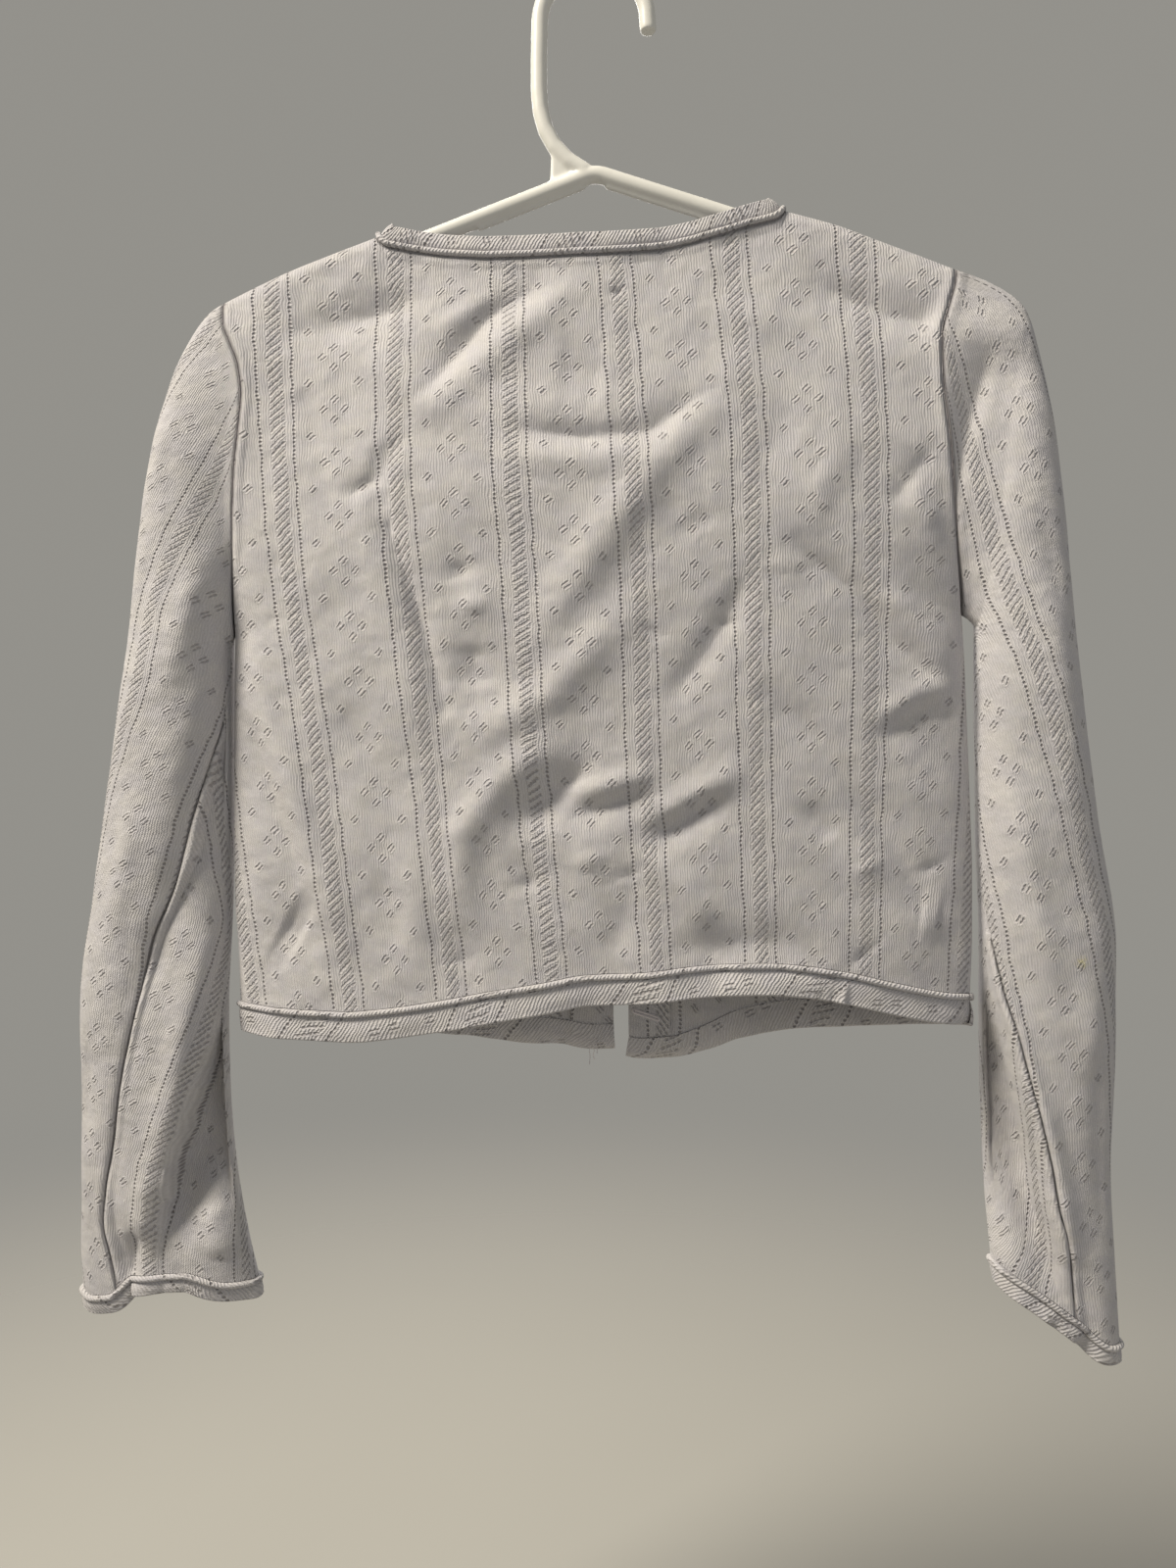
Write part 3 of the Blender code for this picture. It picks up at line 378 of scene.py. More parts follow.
# Lower edges of the panels, where the hem binding starts: x, z
BACK_HEM = (
    (-192, -526.5), (-172, -524.5), (-143, -518.5), (-119, -513), (-95, -509.6), (-76, -508.8),
    (-47, -510), (-18, -513.4), (11, -515), (31, -519), (60, -524), (80, -528), (113, -533.5),
    (135, -535.6), (169, -535.2), (187, -534),
)
FRONT_HEM_LEFT = (
    (-1.5, -549), (10, -549.4), (25, -547), (48, -545), (80, -540.5), (120, -537), (187, -534),
)
FRONT_HEM_RIGHT = (
    (-192, -526.5), (-151, -530), (-126, -532), (-100, -534), (-82, -536.8), (-67, -541),
    (-48, -550), (-33, -555), (-16, -556.4), (-9.5, -555.5),
)

# How far the hem binding flicks forward at the fronts' lower corners: x, degrees
HEM_FLICK_LEFT = ((-1.5, 42), (20, 38), (45, 28), (90, 8), (130, 0), (187, 0))
HEM_FLICK_RIGHT = ((-192, 0), (-110, 0), (-80, 10), (-60, 32), (-35, 55), (-9.5, 62))

# How far the neck binding leans towards the middle behind the neck: x, degrees from upright
NECK_LEAN = (
    (-96.0, -56), (-94, -40), (-91.5, -28), (-86, -12), (-76, 0), (88, 0), (101, 10), (107, 25),
    (109.5, 36), (112, 54),
)

# Below the shoulders the columns that crowd at the neck's corners spread out: x at the top, x lower
COLUMN_SPREAD = (
    (-184, -184), (-165, -165), (-137, -138.5), (-122, -126), (-108, -115), (-96, -105.5),
    (-95.2, -99), (-94, -92.5), (-91.5, -85.5), (-80, -75.5), (-67, -64.5), (-52, -52), (60, 60),
    (76, 73.5), (90, 84), (101, 92.5), (107, 100), (109.5, 106.5), (111, 113), (112, 120),
    (124, 129.5), (138, 141), (152, 153.5), (166, 166), (194, 194),
)

# The panel's row at even steps down an armhole, from the shoulder to the underarm, and the share of the
# armhole's ring that each lies at
ARMHOLE_ROWS = (0.0, 0.006, 0.017, 0.038, 0.07, 0.112, 0.162, 0.218, 0.28, 0.345, 0.412, UNDERARM)
ARMHOLE_STEP = 0.5 / (len(ARMHOLE_ROWS) - 1)
ARMHOLE_STOPS = [(round(ARMHOLE_STEP * i, 5), row) for i, row in enumerate(ARMHOLE_ROWS)]

# Creases of the back: width, height outward, then the places that each runs through, x and z
BACK_CREASES = (
    (11, -4.8, (147, -184), (118, -177), (90, -170)),
    (6.5, -3.6, (28, -166), (53, -180), (70, -200), (84, -219)),
    (9, 3.4, (14, -171), (36, -190), (59, -209), (81, -228)),
    (6, 2.0, (53, -170), (75, -186)),
    (21, -3.4, (18, -211), (-8, -213)),
    (6.5, -4.4, (36, -242), (2, -246), (-29, -244), (-60, -222)),
    (8, 2.6, (38, -256), (0, -259), (-20, -257)),
    (4.5, -3.4, (98, -244), (110, -264), (123, -273)),
    (4.2, -3.8, (111, -272), (98, -300), (87, -334), (73, -382)),
    (9, 2.6, (118, -286), (103, -330), (88, -384)),
    (11, 4.2, (-65, -217), (-41, -252), (-15, -285), (4, -313), (28, -352)),
    (10, 4.2, (-13, -338), (22, -377), (53, -394)),
    (11, -3.6, (60, -350), (59, -372)),
    (8, -2.4, (67, -308), (64, -318)),
    (8, 2.4, (60, -326), (58, -334)),
    (8, -3.6, (127, -382), (112, -408), (95, -433)),
    (9, 4.2, (179, -356), (158, -410), (141, -458), (127, -500)),
    (5, -3.0, (176, -390), (164, -428), (150, -467)),
    (17, -4.8, (160, -492), (148, -499)),
    (8, -5.8, (33, -437), (18, -428), (3, -412)),
    (9, 4.4, (22, -400), (46, -420), (65, -446), (65, -482)),
    (5.5, -3.8, (8, -436), (-10, -431), (-28, -424)),
    (5, 2.8, (10, -424), (-8, -421), (-26, -416)),
    (9, -4.8, (-117, -167), (-150, -183), (-183, -189)),
    (5, -2.2, (-169, -254), (-150, -280)),
    (6, 2.2, (-158, -271), (-171, -293)),
    (7, -4.6, (-102, -302), (-128, -322), (-152, -350), (-172, -368)),
    (8, 3.6, (-146, -322), (-164, -342), (-182, -364)),
    (8, 1.9, (-98, -308), (-99, -314)),
    (6, 2.8, (-145, -386), (-160, -377), (-178, -369)),
    (6, -2.8, (-147, -396), (-166, -383), (-185, -386)),
    (8, -3.8, (-87, -376), (-112, -396), (-142, -438), (-163, -474), (-183, -504)),
    (8, -4.2, (-78, -318), (-60, -350), (-40, -378)),
    (6, -1.8, (-68, -338), (-68, -342)),
    (6, -1.8, (-32, -342), (-31, -346)),
    (7.5, -4.4, (-33, -447), (-50, -437), (-66, -427)),
    (6, 3.2, (-33, -436), (-52, -425), (-72, -416)),
    (7, -3.2, (-121, -447), (-105, -432)),
    (8, -2.4, (-168, -459), (-170, -464)),
    (8, 2.0, (-137, -458), (-139, -463)),
    (11, 3.4, (-164, -486), (-174, -488)),
    (10, -3.8, (-50, -502), (-78, -499), (-103, -501)),
    (8, -2.4, (-133, -503), (-136, -507)),
    (7, 3.4, (-30, -455), (-46, -470), (-61, -489)),
    (8, -2.6, (32, -466), (30, -473)),
    (8, -2.4, (-19, -462), (-21, -467)),
    (8, 2.4, (1, -454), (-1, -462)),
    (8, -2.0, (66, -505), (64, -511)),
    (3.2, -2.4, (-12, -168), (-14, -172)),
    (9, -2.4, (-18, -482), (-10, -504)),
    (7, 2.2, (92, -455), (84, -500)),
    (7, -2.0, (106, -470), (100, -505)),
    (10, 2.2, (120, -200), (60, -240)),
    (9, -1.6, (150, -215), (140, -250)),
    (9, 1.8, (-96, -190), (-60, -180)),
    (8, -1.8, (-100, -230), (-86, -262)),
    (8, 1.8, (-125, -250), (-110, -285)),
    (7, -1.6, (-40, -300), (-62, -284)),
)

# Creases of the fronts, like those of the back
FRONT_CREASES = (
    (10, -4.2, (150, -186), (124, -181), (98, -178)),
    (9, 3.4, (96, -205), (80, -236), (66, -262)),
    (7, -3.2, (70, -225), (62, -258), (52, -290)),
    (10, 3.6, (150, -250), (122, -300), (88, -360)),
    (8, -3.6, (120, -380), (96, -416), (60, -452)),
    (9, 3.6, (176, -360), (154, -430), (130, -500)),
    (5, -2.6, (160, -380), (140, -440)),
    (10, 3.6, (88, -420), (58, -462), (34, -500)),
    (8, -3.2, (46, -330), (30, -382), (16, -430)),
    (6, 2.4, (30, -300), (18, -350)),
    (9, -4.2, (-118, -172), (-146, -184), (-172, -190)),
    (9, 3.4, (-82, -200), (-68, -236), (-56, -268)),
    (8, -3.4, (-66, -300), (-50, -350), (-34, -392)),
    (9, 3.6, (-170, -300), (-134, -340), (-96, -372)),
    (8, -3.6, (-176, -380), (-146, -420), (-112, -452)),
    (10, 3.6, (-120, -404), (-96, -460), (-66, -508)),
    (8, -3.2, (-60, -440), (-44, -484), (-32, -520)),
    (9, 3.0, (-160, -470), (-172, -496), (-178, -516)),
    (5, -2.4, (-30, -260), (-46, -300)),
    (6, 2.2, (-150, -210), (-128, -240)),
    (6, -2.2, (110, -470), (96, -512)),
)

# Sections of a sleeve from the armhole down: outer x, z; inner x, z; near depth; far depth
LEFT_SLEEVE = (
    (198, -168.0, 191.8, -344, 13, 13),
    (208, -175, 192.4, -345, 15, 15),
    (220, -201, 192.8, -347, 18, 18),
    (231, -238, 193.0, -350, 20, 20),
    (238, -282, 193.2, -356, 22, 23),
    (243, -328, 193.2, -368, 23, 26),
    (249, -376, 193.2, -390, 24, 28),
    (257, -430, 193.4, -436, 23, 28),
    (265, -485, 194.0, -488, 22, 27),
    (271, -533, 196.0, -533, 22, 27),
    (271, -582, 195.0, -580, 20, 26),
    (271, -630, 190.5, -628, 17, 24),
    (272, -662, 184.0, -660, 14, 20),
    (271, -686, 178.5, -680, 12, 16),
)
RIGHT_SLEEVE = (
    (-187.5, -160.6, -194.6, -337, 13, 13),
    (-203, -166, -195.2, -338, 15, 15),
    (-217, -178, -195.6, -340, 17, 17),
    (-225, -203, -195.8, -343, 19, 19),
    (-232, -240, -196.0, -348, 21, 22),
    (-237.5, -288, -196.2, -358, 23, 25),
    (-241.5, -338, -196.4, -374, 24, 27),
    (-246.5, -385, -196.6, -400, 24, 28),
    (-253.5, -440, -197.0, -446, 24, 28),
    (-262, -500, -199.0, -500, 23, 27),
    (-262, -555, -200.5, -550, 22, 26),
    (-260, -610, -202.0, -596, 20, 24),
    (-262, -655, -203.0, -634, 17, 20),
    (-265, -700, -203.5, -660, 13, 15),
)

# Creases of a sleeve's near side and of its far side, like those of the back
LEFT_SLEEVE_NEAR = (
    (6, -6.0, (206, -198), (196, -222), (195.5, -246), (194, -275), (191, -304)),
    (8, 3.0, (190, -206), (184, -232)),
    (8, 3.2, (202, -310), (216, -370)),
    (7, -5.0, (187, -360), (198, -400), (206, -430)),
    (6.5, -4.2, (206, -430), (221, -490), (234, -529)),
    (5.5, -2.8, (234, -529), (243, -570), (249, -610), (251, -640)),
    (5, -3.4, (251, -640), (248, -662), (245, -680)),
    (8, 4.4, (200, -506), (212, -560), (224, -610)),
    (9, 4.4, (199, -638), (191, -668)),
    (6, 3.2, (230, -620), (234, -660)),
    (5, -5.0, (238, -655), (243, -687)),
    (8, -2.6, (262, -556), (265, -604)),
    (7, 2.4, (236, -440), (248, -500)),
    (7, -1.8, (228, -300), (236, -352)),
    (6, 1.8, (222, -232), (230, -270)),
)
LEFT_SLEEVE_FAR = (
    (9, -5.0, (214, -215), (208, -252), (204, -290)),
    (9, 4.0, (236, -330), (228, -376), (222, -420)),
    (8, -5.0, (206, -400), (218, -452), (232, -500)),
    (9, 4.0, (244, -470), (236, -530), (226, -590)),
    (8, -5.0, (204, -560), (210, -606), (218, -650)),
    (6, 2.6, (250, -600), (244, -650)),
)
RIGHT_SLEEVE_NEAR = (
    (8, -5.6, (-208, -208), (-200, -240), (-196, -272)),
    (11, 3.2, (-186, -197), (-216, -197)),
    (9, 3.2, (-224, -330), (-232, -376), (-238, -420)),
    (7, 2.6, (-206, -420), (-216, -470), (-226, -520)),
    (6, 4.4, (-199, -505), (-207, -535), (-218, -566)),
    (6, 5.0, (-218, -566), (-228, -605), (-237, -650)),
    (8, 3.2, (-208, -618), (-213, -666)),
    (8, -3.0, (-250, -560), (-252, -640)),
    (6, -1.8, (-222, -285), (-230, -330)),
    (6, 2.0, (-244, -520), (-248, -556)),
    (5, -2.0, (-243, -664), (-250, -700)),
)
RIGHT_SLEEVE_FAR = (
    (9, -5.0, (-208, -205), (-203, -245), (-200, -285)),
    (9, 4.0, (-232, -320), (-224, -370), (-216, -420)),
    (8, -5.0, (-206, -400), (-214, -450), (-224, -500)),
    (9, 4.0, (-246, -480), (-238, -540), (-230, -600)),
    (8, -5.0, (-214, -560), (-218, -606), (-222, -650)),
    (6, 2.6, (-250, -620), (-246, -660)),
)

# Cuff edges rise between their two ends on the near side: share of the width, rise in mm
LEFT_CUFF_RISE = ((0.0, 0.0), (0.08, -3.0), (0.2, -2.0), (0.32, 6.0), (0.6, 8.0), (0.85, 1.0), (1.0, 0.0))
RIGHT_CUFF_RISE = ((0.0, 0.0), (0.15, -4.0), (0.4, -1.0), (0.7, 0.0), (1.0, 0.0))

# Where the back's pairs of ladder lines run: z, then x of each pair from the wearer's left
LADDERS = (
    (-498, 128.1, 72.9, 21.7, -31.6, -84.1, -135.8),
    (-410, 140.5, 82.8, 30.6, -26.5, -81.4, -137.4),
    (-322, 155.1, 93.3, 35.7, -23.6, -79.8, -139.1),
    (-254, 161.7, 100.3, 40.7, -19.4, -78.8, -138.9),
    (-175, 167.7, 102.5, 42.9, -12.8, -71.6, -134.8),
)

# How far the diamonds of each panel between two pairs are lifted: place in repeats, lift in mm
DIAMOND_LIFT = ((0.5, 3), (1.5, 0), (2.5, 5), (3.5, -10), (4.5, -4.5), (5.5, 0), (6.5, 3.4), (7.5, 5))

# Where a sleeve's cloth folds back under itself on its near side: z, x of the fold's edge, depth
LEFT_SLEEVE_LAPS = (
    ((-690, 228, 0), (-662, 227, 3), (-645, 225.2, 10), (-635, 223.2, 16), (-610, 217.1, 24),
     (-583, 209, 24), (-560, 203.1, 20), (-540, 197, 14), (-520, 192, 8), (-500, 190, 0)),
    ((-620, 248, 0), (-566, 240.5, 1.5), (-528, 231.6, 2.5), (-500, 224.5, 3.5), (-471, 212.7, 4.5),
     (-455, 206.8, 5.5), (-434, 203.3, 6.5), (-400, 197, 7), (-370, 193, 6), (-340, 190, 4),
     (-320, 188, 0)),
)
RIGHT_SLEEVE_LAPS = (
    ((-385, -190, 0), (-367, -190.2, 4), (-339, -192.1, 7), (-314, -193.5, 9), (-290, -195.9, 9.5),
     (-256, -200.1, 8), (-235, -204.4, 6), (-216, -207.2, 3), (-200, -210, 0)),
)

# How deep a sleeve's cloth falls back beside its long seam: share of its length, depth
LEFT_SLEEVE_FOLD = ((0.0, 0.0), (1.0, 0.0))
RIGHT_SLEEVE_FOLD = (
    (0.0, 0.0), (0.67, 0.0), (0.71, 6.0), (0.77, 14.0), (0.85, 18.0), (0.91, 14.0), (0.96, 6.0),
    (0.99, 1.0), (1.0, 0.0),
)

# Where a sleeve's long seam runs: share of its length, share of the way round
LEFT_SLEEVE_SEAM = (
    (0.0, 0.5), (0.4, 0.5), (0.44, 0.469), (0.537, 0.35), (0.591, 0.307), (0.637, 0.266),
    (0.683, 0.252), (0.745, 0.215), (0.795, 0.189), (0.853, 0.155), (0.892, 0.145), (0.931, 0.157),
    (1.0, 0.167),
)
RIGHT_SLEEVE_SEAM = (
    (0.0, 0.5), (0.64, 0.5), (0.672, 0.476), (0.695, 0.442), (0.73, 0.399), (0.757, 0.36),
    (0.792, 0.326), (0.822, 0.297), (0.857, 0.271), (0.896, 0.256), (0.923, 0.239), (0.958, 0.227),
    (1.0, 0.222),
)

# A sleeve's ladder pairs at a height: length from the outer edge to the pair on either side of the seam
LEFT_SLEEVE_GRAIN = (
    (-690, 59, 52), (-626, 46, 55.4), (-597, 48, 63.6), (-574, 50, 71.7), (-544, 54, 83.7),
    (-520, 56.2, 92), (-495, 56, 96), (-463, 59.8, 84), (-430, 63.4, 72), (-400, 70, 63),
    (-370, 77, 61), (-351, 78.6, 61), (-330, 80.3, 61), (-307, 86.3, 63), (-278, 95.8, 65),
    (-254, 104, 67), (-222, 113.8, 69), (-180, 126, 74),
)
RIGHT_SLEEVE_GRAIN = (
    (-700, 44, 54), (-640, 50, 54), (-600, 55, 54), (-567, 60.2, 54), (-544, 64.1, 54),
    (-529, 67.1, 55), (-513, 70.9, 56), (-497, 74, 57), (-465, 78, 58), (-437, 79, 59),
    (-393, 84, 61), (-351, 91.2, 64), (-328, 97.6, 66), (-275, 107, 74), (-232, 110.8, 82),
    (-180, 116, 88),
)

# A faded yellow mark on the right sleeve: its centre, radius in mm and colour, then how its edge frays
STAIN = ((-240.5, 26.0, -507.0), 7.0, (0.62, 0.56, 0.24))
STAIN_RAGGED = 1.2
STAIN_EDGE = (0.75, 1.35)
STAIN_STRENGTH = 0.75

# Loose thread ends at the left front's lower corner: x, y and z of each bend
LOOSE_THREADS = (
    ((1.5, -23.5, -560.0), (0.5, -23.0, -563.5), (1.8, -24.5, -566.5), (0.8, -25.5, -569.0)),
    ((3.0, -23.5, -560.5), (3.8, -24.0, -564.0), (2.9, -25.0, -567.5), (3.6, -24.2, -571.5)),
    ((0.2, -23.6, -559.5), (-1.0, -24.2, -562.0), (-0.6, -23.8, -565.5)),
)


class KnitSettings(PropertyGroup):
    """The knitted cloth of the panels and the sleeves."""

    wall: FloatProperty(
        name="Cloth thickness", description="Thickness of the knitted cloth",
        default=1.4 * MM, unit="LENGTH")
    colour: FloatVectorProperty(
        name="Yarn", description="Pale lilac of the yarn", default=(0.53, 0.517, 0.53),
        subtype="COLOR", min=0.0, max=1.0)
    # Colour of the painted shade put in the eyelets and pinholes, the rib grooves, the gutters beside the
    # ladders and along sewn seams
    shade: FloatVectorProperty(
        name="Painted shade in the holes", description="Painted shade in the eyelets, rib grooves, gutters and seams",
        default=(0.20, 0.18, 0.19), subtype="COLOR", min=0.0, max=1.0)
    eyelet: FloatProperty(
        name="Eyelet radius", description="Radius of a lace eyelet", default=0.72, min=0.2, max=2.0)
    ribs: FloatProperty(
        name="Ribs", description="Fine ribs from one pair of ladder lines to the next",
        default=44.0, min=10.0, max=100.0)


class TrimSettings(PropertyGroup):
    """Bindings, facings, buttons and thread."""

    half: FloatProperty(
        name="Half thickness", description="Half of the folded binding's thickness", default=1.3,
        min=0.5, max=3.0)
    cord: FloatProperty(
        name="Cord radius", description="Radius of the cord that lies along each binding's seam",
        default=1.5, min=0.5, max=3.0)
    button_colour: FloatVectorProperty(
        name="Button", description="Colour of the buttons", default=(0.70, 0.66, 0.655),
        subtype="COLOR", min=0.0, max=1.0)
    thread_colour: FloatVectorProperty(
        name="Thread", description="Colour of the sewing thread", default=(0.70, 0.66, 0.68),
        subtype="COLOR", min=0.0, max=1.0)


class HangerSettings(PropertyGroup):
    """The plastic tube hanger."""

    tube: FloatProperty(
        name="Tube radius", description="Radius of the moulded tube", default=4.4, min=2.0, max=8.0)
    colour: FloatVectorProperty(
        name="Plastic", description="Warm white of the hanger", default=(0.70, 0.688, 0.645),
        subtype="COLOR", min=0.0, max=1.0)


class StageSettings(PropertyGroup):
    """Floor, light and background."""

    floor_height: FloatProperty(
        name="Floor height", description="Height of the floor below the hook", default=-1.02,
        unit="LENGTH")
    backdrop: FloatVectorProperty(
        name="Background", description="Colour of the floor and of the room",
        default=(0.98, 0.95, 0.87), subtype="COLOR", min=0.0, max=1.0)
    key_power: FloatProperty(
        name="Key light", description="Power of the large light overhead", default=108.0,
        subtype="POWER")
    fill_power: FloatProperty(
        name="Fill light", description="Power of the soft light beside the camera", default=2.5,
        subtype="POWER")
    ambient: FloatProperty(
        name="Room light", description="Strength of the light from all round", default=0.30,
        min=0.0, max=2.0)


# Smooth curves and tables


def mix(a, b, t):
    """Part of the way from one value to another."""
    return a + (b - a) * t


def ease(t):
    """A smooth step from 0 to 1."""
    t = np.clip(t, 0.0, 1.0)
    return t * t * (3.0 - 2.0 * t)


def read(rows, at, column=1):
    """Read a table's column on a smooth curve that doesn't overshoot, straight on past the ends."""
    keys = np.array([row[0] for row in rows], float)
    values = np.array([row[column] for row in rows], float)
    rise = np.diff(values) / np.diff(keys)
    steady = rise[:-1] * rise[1:] > 0.0
    total = np.where(steady, rise[:-1] + rise[1:], 1.0)
    slopes = np.concatenate([rise[:1], np.where(steady, 2.0 * rise[:-1] * rise[1:] / total, 0.0), rise[-1:]])
    at = np.asarray(at, float)
    i = np.clip(np.searchsorted(keys, at) - 1, 0, len(keys) - 2)
    step = keys[i + 1] - keys[i]
    t = np.clip((at - keys[i]) / step, 0.0, 1.0)
    inside = mix(values[i], values[i + 1], ease(t))
    inside = inside + step * (slopes[i] * t * (1.0 - t) ** 2 - slopes[i + 1] * t * t * (1.0 - t))
    below = np.minimum(at - keys[0], 0.0) * slopes[0]
    above = np.maximum(at - keys[-1], 0.0) * slopes[-1]
    return inside + below + above


def unit(vectors):
    """The same directions, each of length 1."""
    return vectors / np.maximum(np.linalg.norm(vectors, axis=-1, keepdims=True), 1e-9)


def running_length(points, axis=0):
    """Length along each line of points from its first point."""
    steps = np.linalg.norm(np.diff(points, axis=axis), axis=-1)
    start = np.zeros_like(np.take(steps, [0], axis=axis))
    return np.concatenate([start, np.cumsum(steps, axis=axis)], axis=axis)


def arc_points(centre_x, centre_z, radius, start, end, steps):
    """Points on an arc, from one angle to another in degrees."""
    angles = np.radians(np.linspace(start, end, steps + 1))
    return [(centre_x + radius * math.cos(a), centre_z + radius * math.sin(a)) for a in angles]


# Folds


def crease_relief(rows, x, z):
    """Height of the creases at a place. Troughs are narrow at the bottom, and ridges are round."""
    total = np.zeros(np.broadcast(x, z).shape)
    for width, height, *places in rows:
        gap = np.full(total.shape, np.inf)
        share = np.zeros(total.shape)
        stretches = list(zip(places[:-1], places[1:]))
        for i, ((x1, z1), (x2, z2)) in enumerate(stretches):
            run_x, run_z = x2 - x1, z2 - z1
            t = np.clip(((x - x1) * run_x + (z - z1) * run_z) / (run_x ** 2 + run_z ** 2), 0.0, 1.0)
            away = np.hypot(x - x1 - run_x * t, z - z1 - run_z * t)
            share = np.where(away < gap, (i + t) / len(stretches), share)
            gap = np.minimum(gap, away)
        sharpness = TROUGH_SHARPNESS if height < 0.0 else SWELL_SHARPNESS
        fade = ease(CREASE_END + CREASE_FADE * np.minimum(share, 1.0 - share))
        total += height * fade * np.exp(-(gap / width) ** sharpness)
    return total


def ripple(x, z, seed):
    """Slight unevenness of worn cloth, in mm: crossed waves 4 to 40 mm long that bend each other."""
    warp = 1.4 * np.sin(x / 31.0 + seed) + 1.1 * np.sin(z / 37.0 - seed * 1.7)
    soft = np.sin(x / 9.1 + z / 15.0 + warp) + np.sin(x / 13.0 - z / 8.3 + 1.3 * warp + seed)
    fine = np.sin(x / 4.3 + z / 6.1 + 2.0 * warp) * np.sin(z / 4.9 - x / 7.7 + warp + seed)
    return SOFT_RIPPLE * soft + FINE_RIPPLE * fine


# Cloth of the back and the fronts, in mm. face is 1 for the back and -1 for the fronts.


def arc_from_drop(drop):
    """Length along the cloth from the shoulder ridge, for a drop square to the ridge."""
    over_arm = RIDGE_RADIUS * np.arccos(1.0 - np.clip(drop / RIDGE_RADIUS, 0.0, 1.0))
    return np.where(drop < RIDGE_RADIUS, over_arm, RIDGE_RADIUS * (math.pi / 2.0 - 1.0) + drop)


def drop_from_arc(arc):
    """The drop and the depth of the cloth that goes round the hanger's arm."""
    quarter = RIDGE_RADIUS * math.pi / 2.0
    angle = np.clip(arc / RIDGE_RADIUS, 0.0, math.pi / 2.0)
    past = np.maximum(arc - quarter, 0.0)
    return RIDGE_RADIUS * (1.0 - np.cos(angle)) + past, RIDGE_RADIUS * np.sin(angle)


def on_front(left, right, x):
    """Read a table of the left front or of the right one."""
    return np.where(x > FRONTS_MEET_X, read(left, x), read(right, x))


def top_line(face, x):
    """Height of a panel's top edge: the shoulder, or the neck's seam line between the shoulders."""
    neck = read(BACK_NECK, x) if face > 0 else on_front(FRONT_NECK_LEFT, FRONT_NECK_RIGHT, x)
    return np.where((x >= LEFT_NECK_X) | (x <= RIGHT_NECK_X), read(RIDGE, x), neck)


def hem_line(face, x):
    """Height of a panel's lower edge."""
    return read(BACK_HEM, x) if face > 0 else on_front(FRONT_HEM_LEFT, FRONT_HEM_RIGHT, x)


def side_depth(row):
    """Depth of the armhole's edge at a row. Below the underarm the side seam lies at depth 0."""
    place = 2.0 * row / UNDERARM - 1.0
    across = np.clip(np.abs(place), 0.0, 1.0)
    upper, lower = (
        (1.0 - across ** inner) ** outer for inner, outer in (UPPER_ARMHOLE_CURVE, LOWER_ARMHOLE_CURVE))
    return ARMHOLE_DEPTH * np.where(place < 0.0, upper, lower)


def hem_arc(face, x):
    """Length along the cloth from the shoulder ridge to the hem."""
    return arc_from_drop((read(RIDGE, x) - hem_line(face, x)) * SHOULDER_TILT)


def cloth(face, x, arc):
    """Points on the middle of the cloth, at a column's x and a length down from the shoulder ridge."""
    share = (LEFT_ARMHOLE_X - x) / (LEFT_ARMHOLE_X - RIGHT_ARMHOLE_X)
    drop, depth = drop_from_arc(arc)
    z = read(RIDGE, x) - drop / SHOULDER_TILT
    left = read(LEFT_SIDE, z)
    right = read(RIGHT_SIDE, z)
    place = mix(left, right, share)
    full = BACK_DEPTH if face > 0 else FRONT_DEPTH
    depth = depth + (full - RIDGE_RADIUS) * ease(drop / SHOULDER_SPREAD)
    row = arc / hem_arc(face, x)
    armhole = ease((UNDERARM + ARMHOLE_PAST - row) / ARMHOLE_BLEND)
    nearness = np.clip(np.minimum(share, 1.0 - share) * 2.0, 0.0, 1.0)
    round_side = (1.0 - (1.0 - nearness) ** SIDE_ROUNDNESS) ** 0.5
    flat_side = 1.0 - (1.0 - nearness) ** SIDE_FLATNESS
    edge = side_depth(row)
    depth = edge + (depth - edge) * mix(round_side, flat_side, armhole)
    inset = np.minimum(np.abs(place - left), np.abs(place - right))
    calm = ease(inset / FOLD_INSET) * ease(drop / FOLD_DROP)
    creases = crease_relief(BACK_CREASES if face > 0 else FRONT_CREASES, place, z)
    depth = depth + (creases + ripple(place, z, face * 2.0)) * calm
    return np.stack([place, face * depth, z], -1)


def panel_place(face, x, row):
    """Where a panel's column and row lie on the cloth: x at that row, and the length from the ridge."""
    top_arc = arc_from_drop((read(RIDGE, x) - top_line(face, x)) * SHOULDER_TILT)
    reach = mix(ROW_REACH[0], ROW_REACH[1], np.clip(top_arc / DEEP_CUT, 0.0, 1.0))
    low = read(COLUMN_SPREAD, x)
    here = mix(x, low, ease(row / SPREAD_REACH))
    return here, hem_arc(face, low) * row + top_arc * (1.0 - ease(row / reach))


def cloth_normals(face, here, arc):
    """Directions square to the cloth and away from the wearer."""
    low_x = np.maximum(here - NORMAL_STEP, RIGHT_ARMHOLE_X)
    high_x = np.minimum(here + NORMAL_STEP, LEFT_ARMHOLE_X)
    across = cloth(face, high_x, arc) - cloth(face, low_x, arc)
    low_arc = np.maximum(arc - NORMAL_STEP, 0.0)
    high_arc = np.minimum(arc + NORMAL_STEP, hem_arc(face, here))
    down = cloth(face, here, high_arc) - cloth(face, here, low_arc)
    normals = unit(np.cross(across, down))
    return normals * np.where(normals[..., 1:2] * face < 0.0, -1.0, 1.0)


def panel_columns(start, end, count, corners=()):
    """Places across a panel, closer together at both sides, with the neck's corners among them."""
    t = np.linspace(0.0, 1.0, count - len(corners))
    closer = 0.5 - 0.5 * np.cos(math.pi * t)
    return np.array(sorted(list(mix(start, end, mix(t, closer, 0.5))) + list(corners), reverse=True))


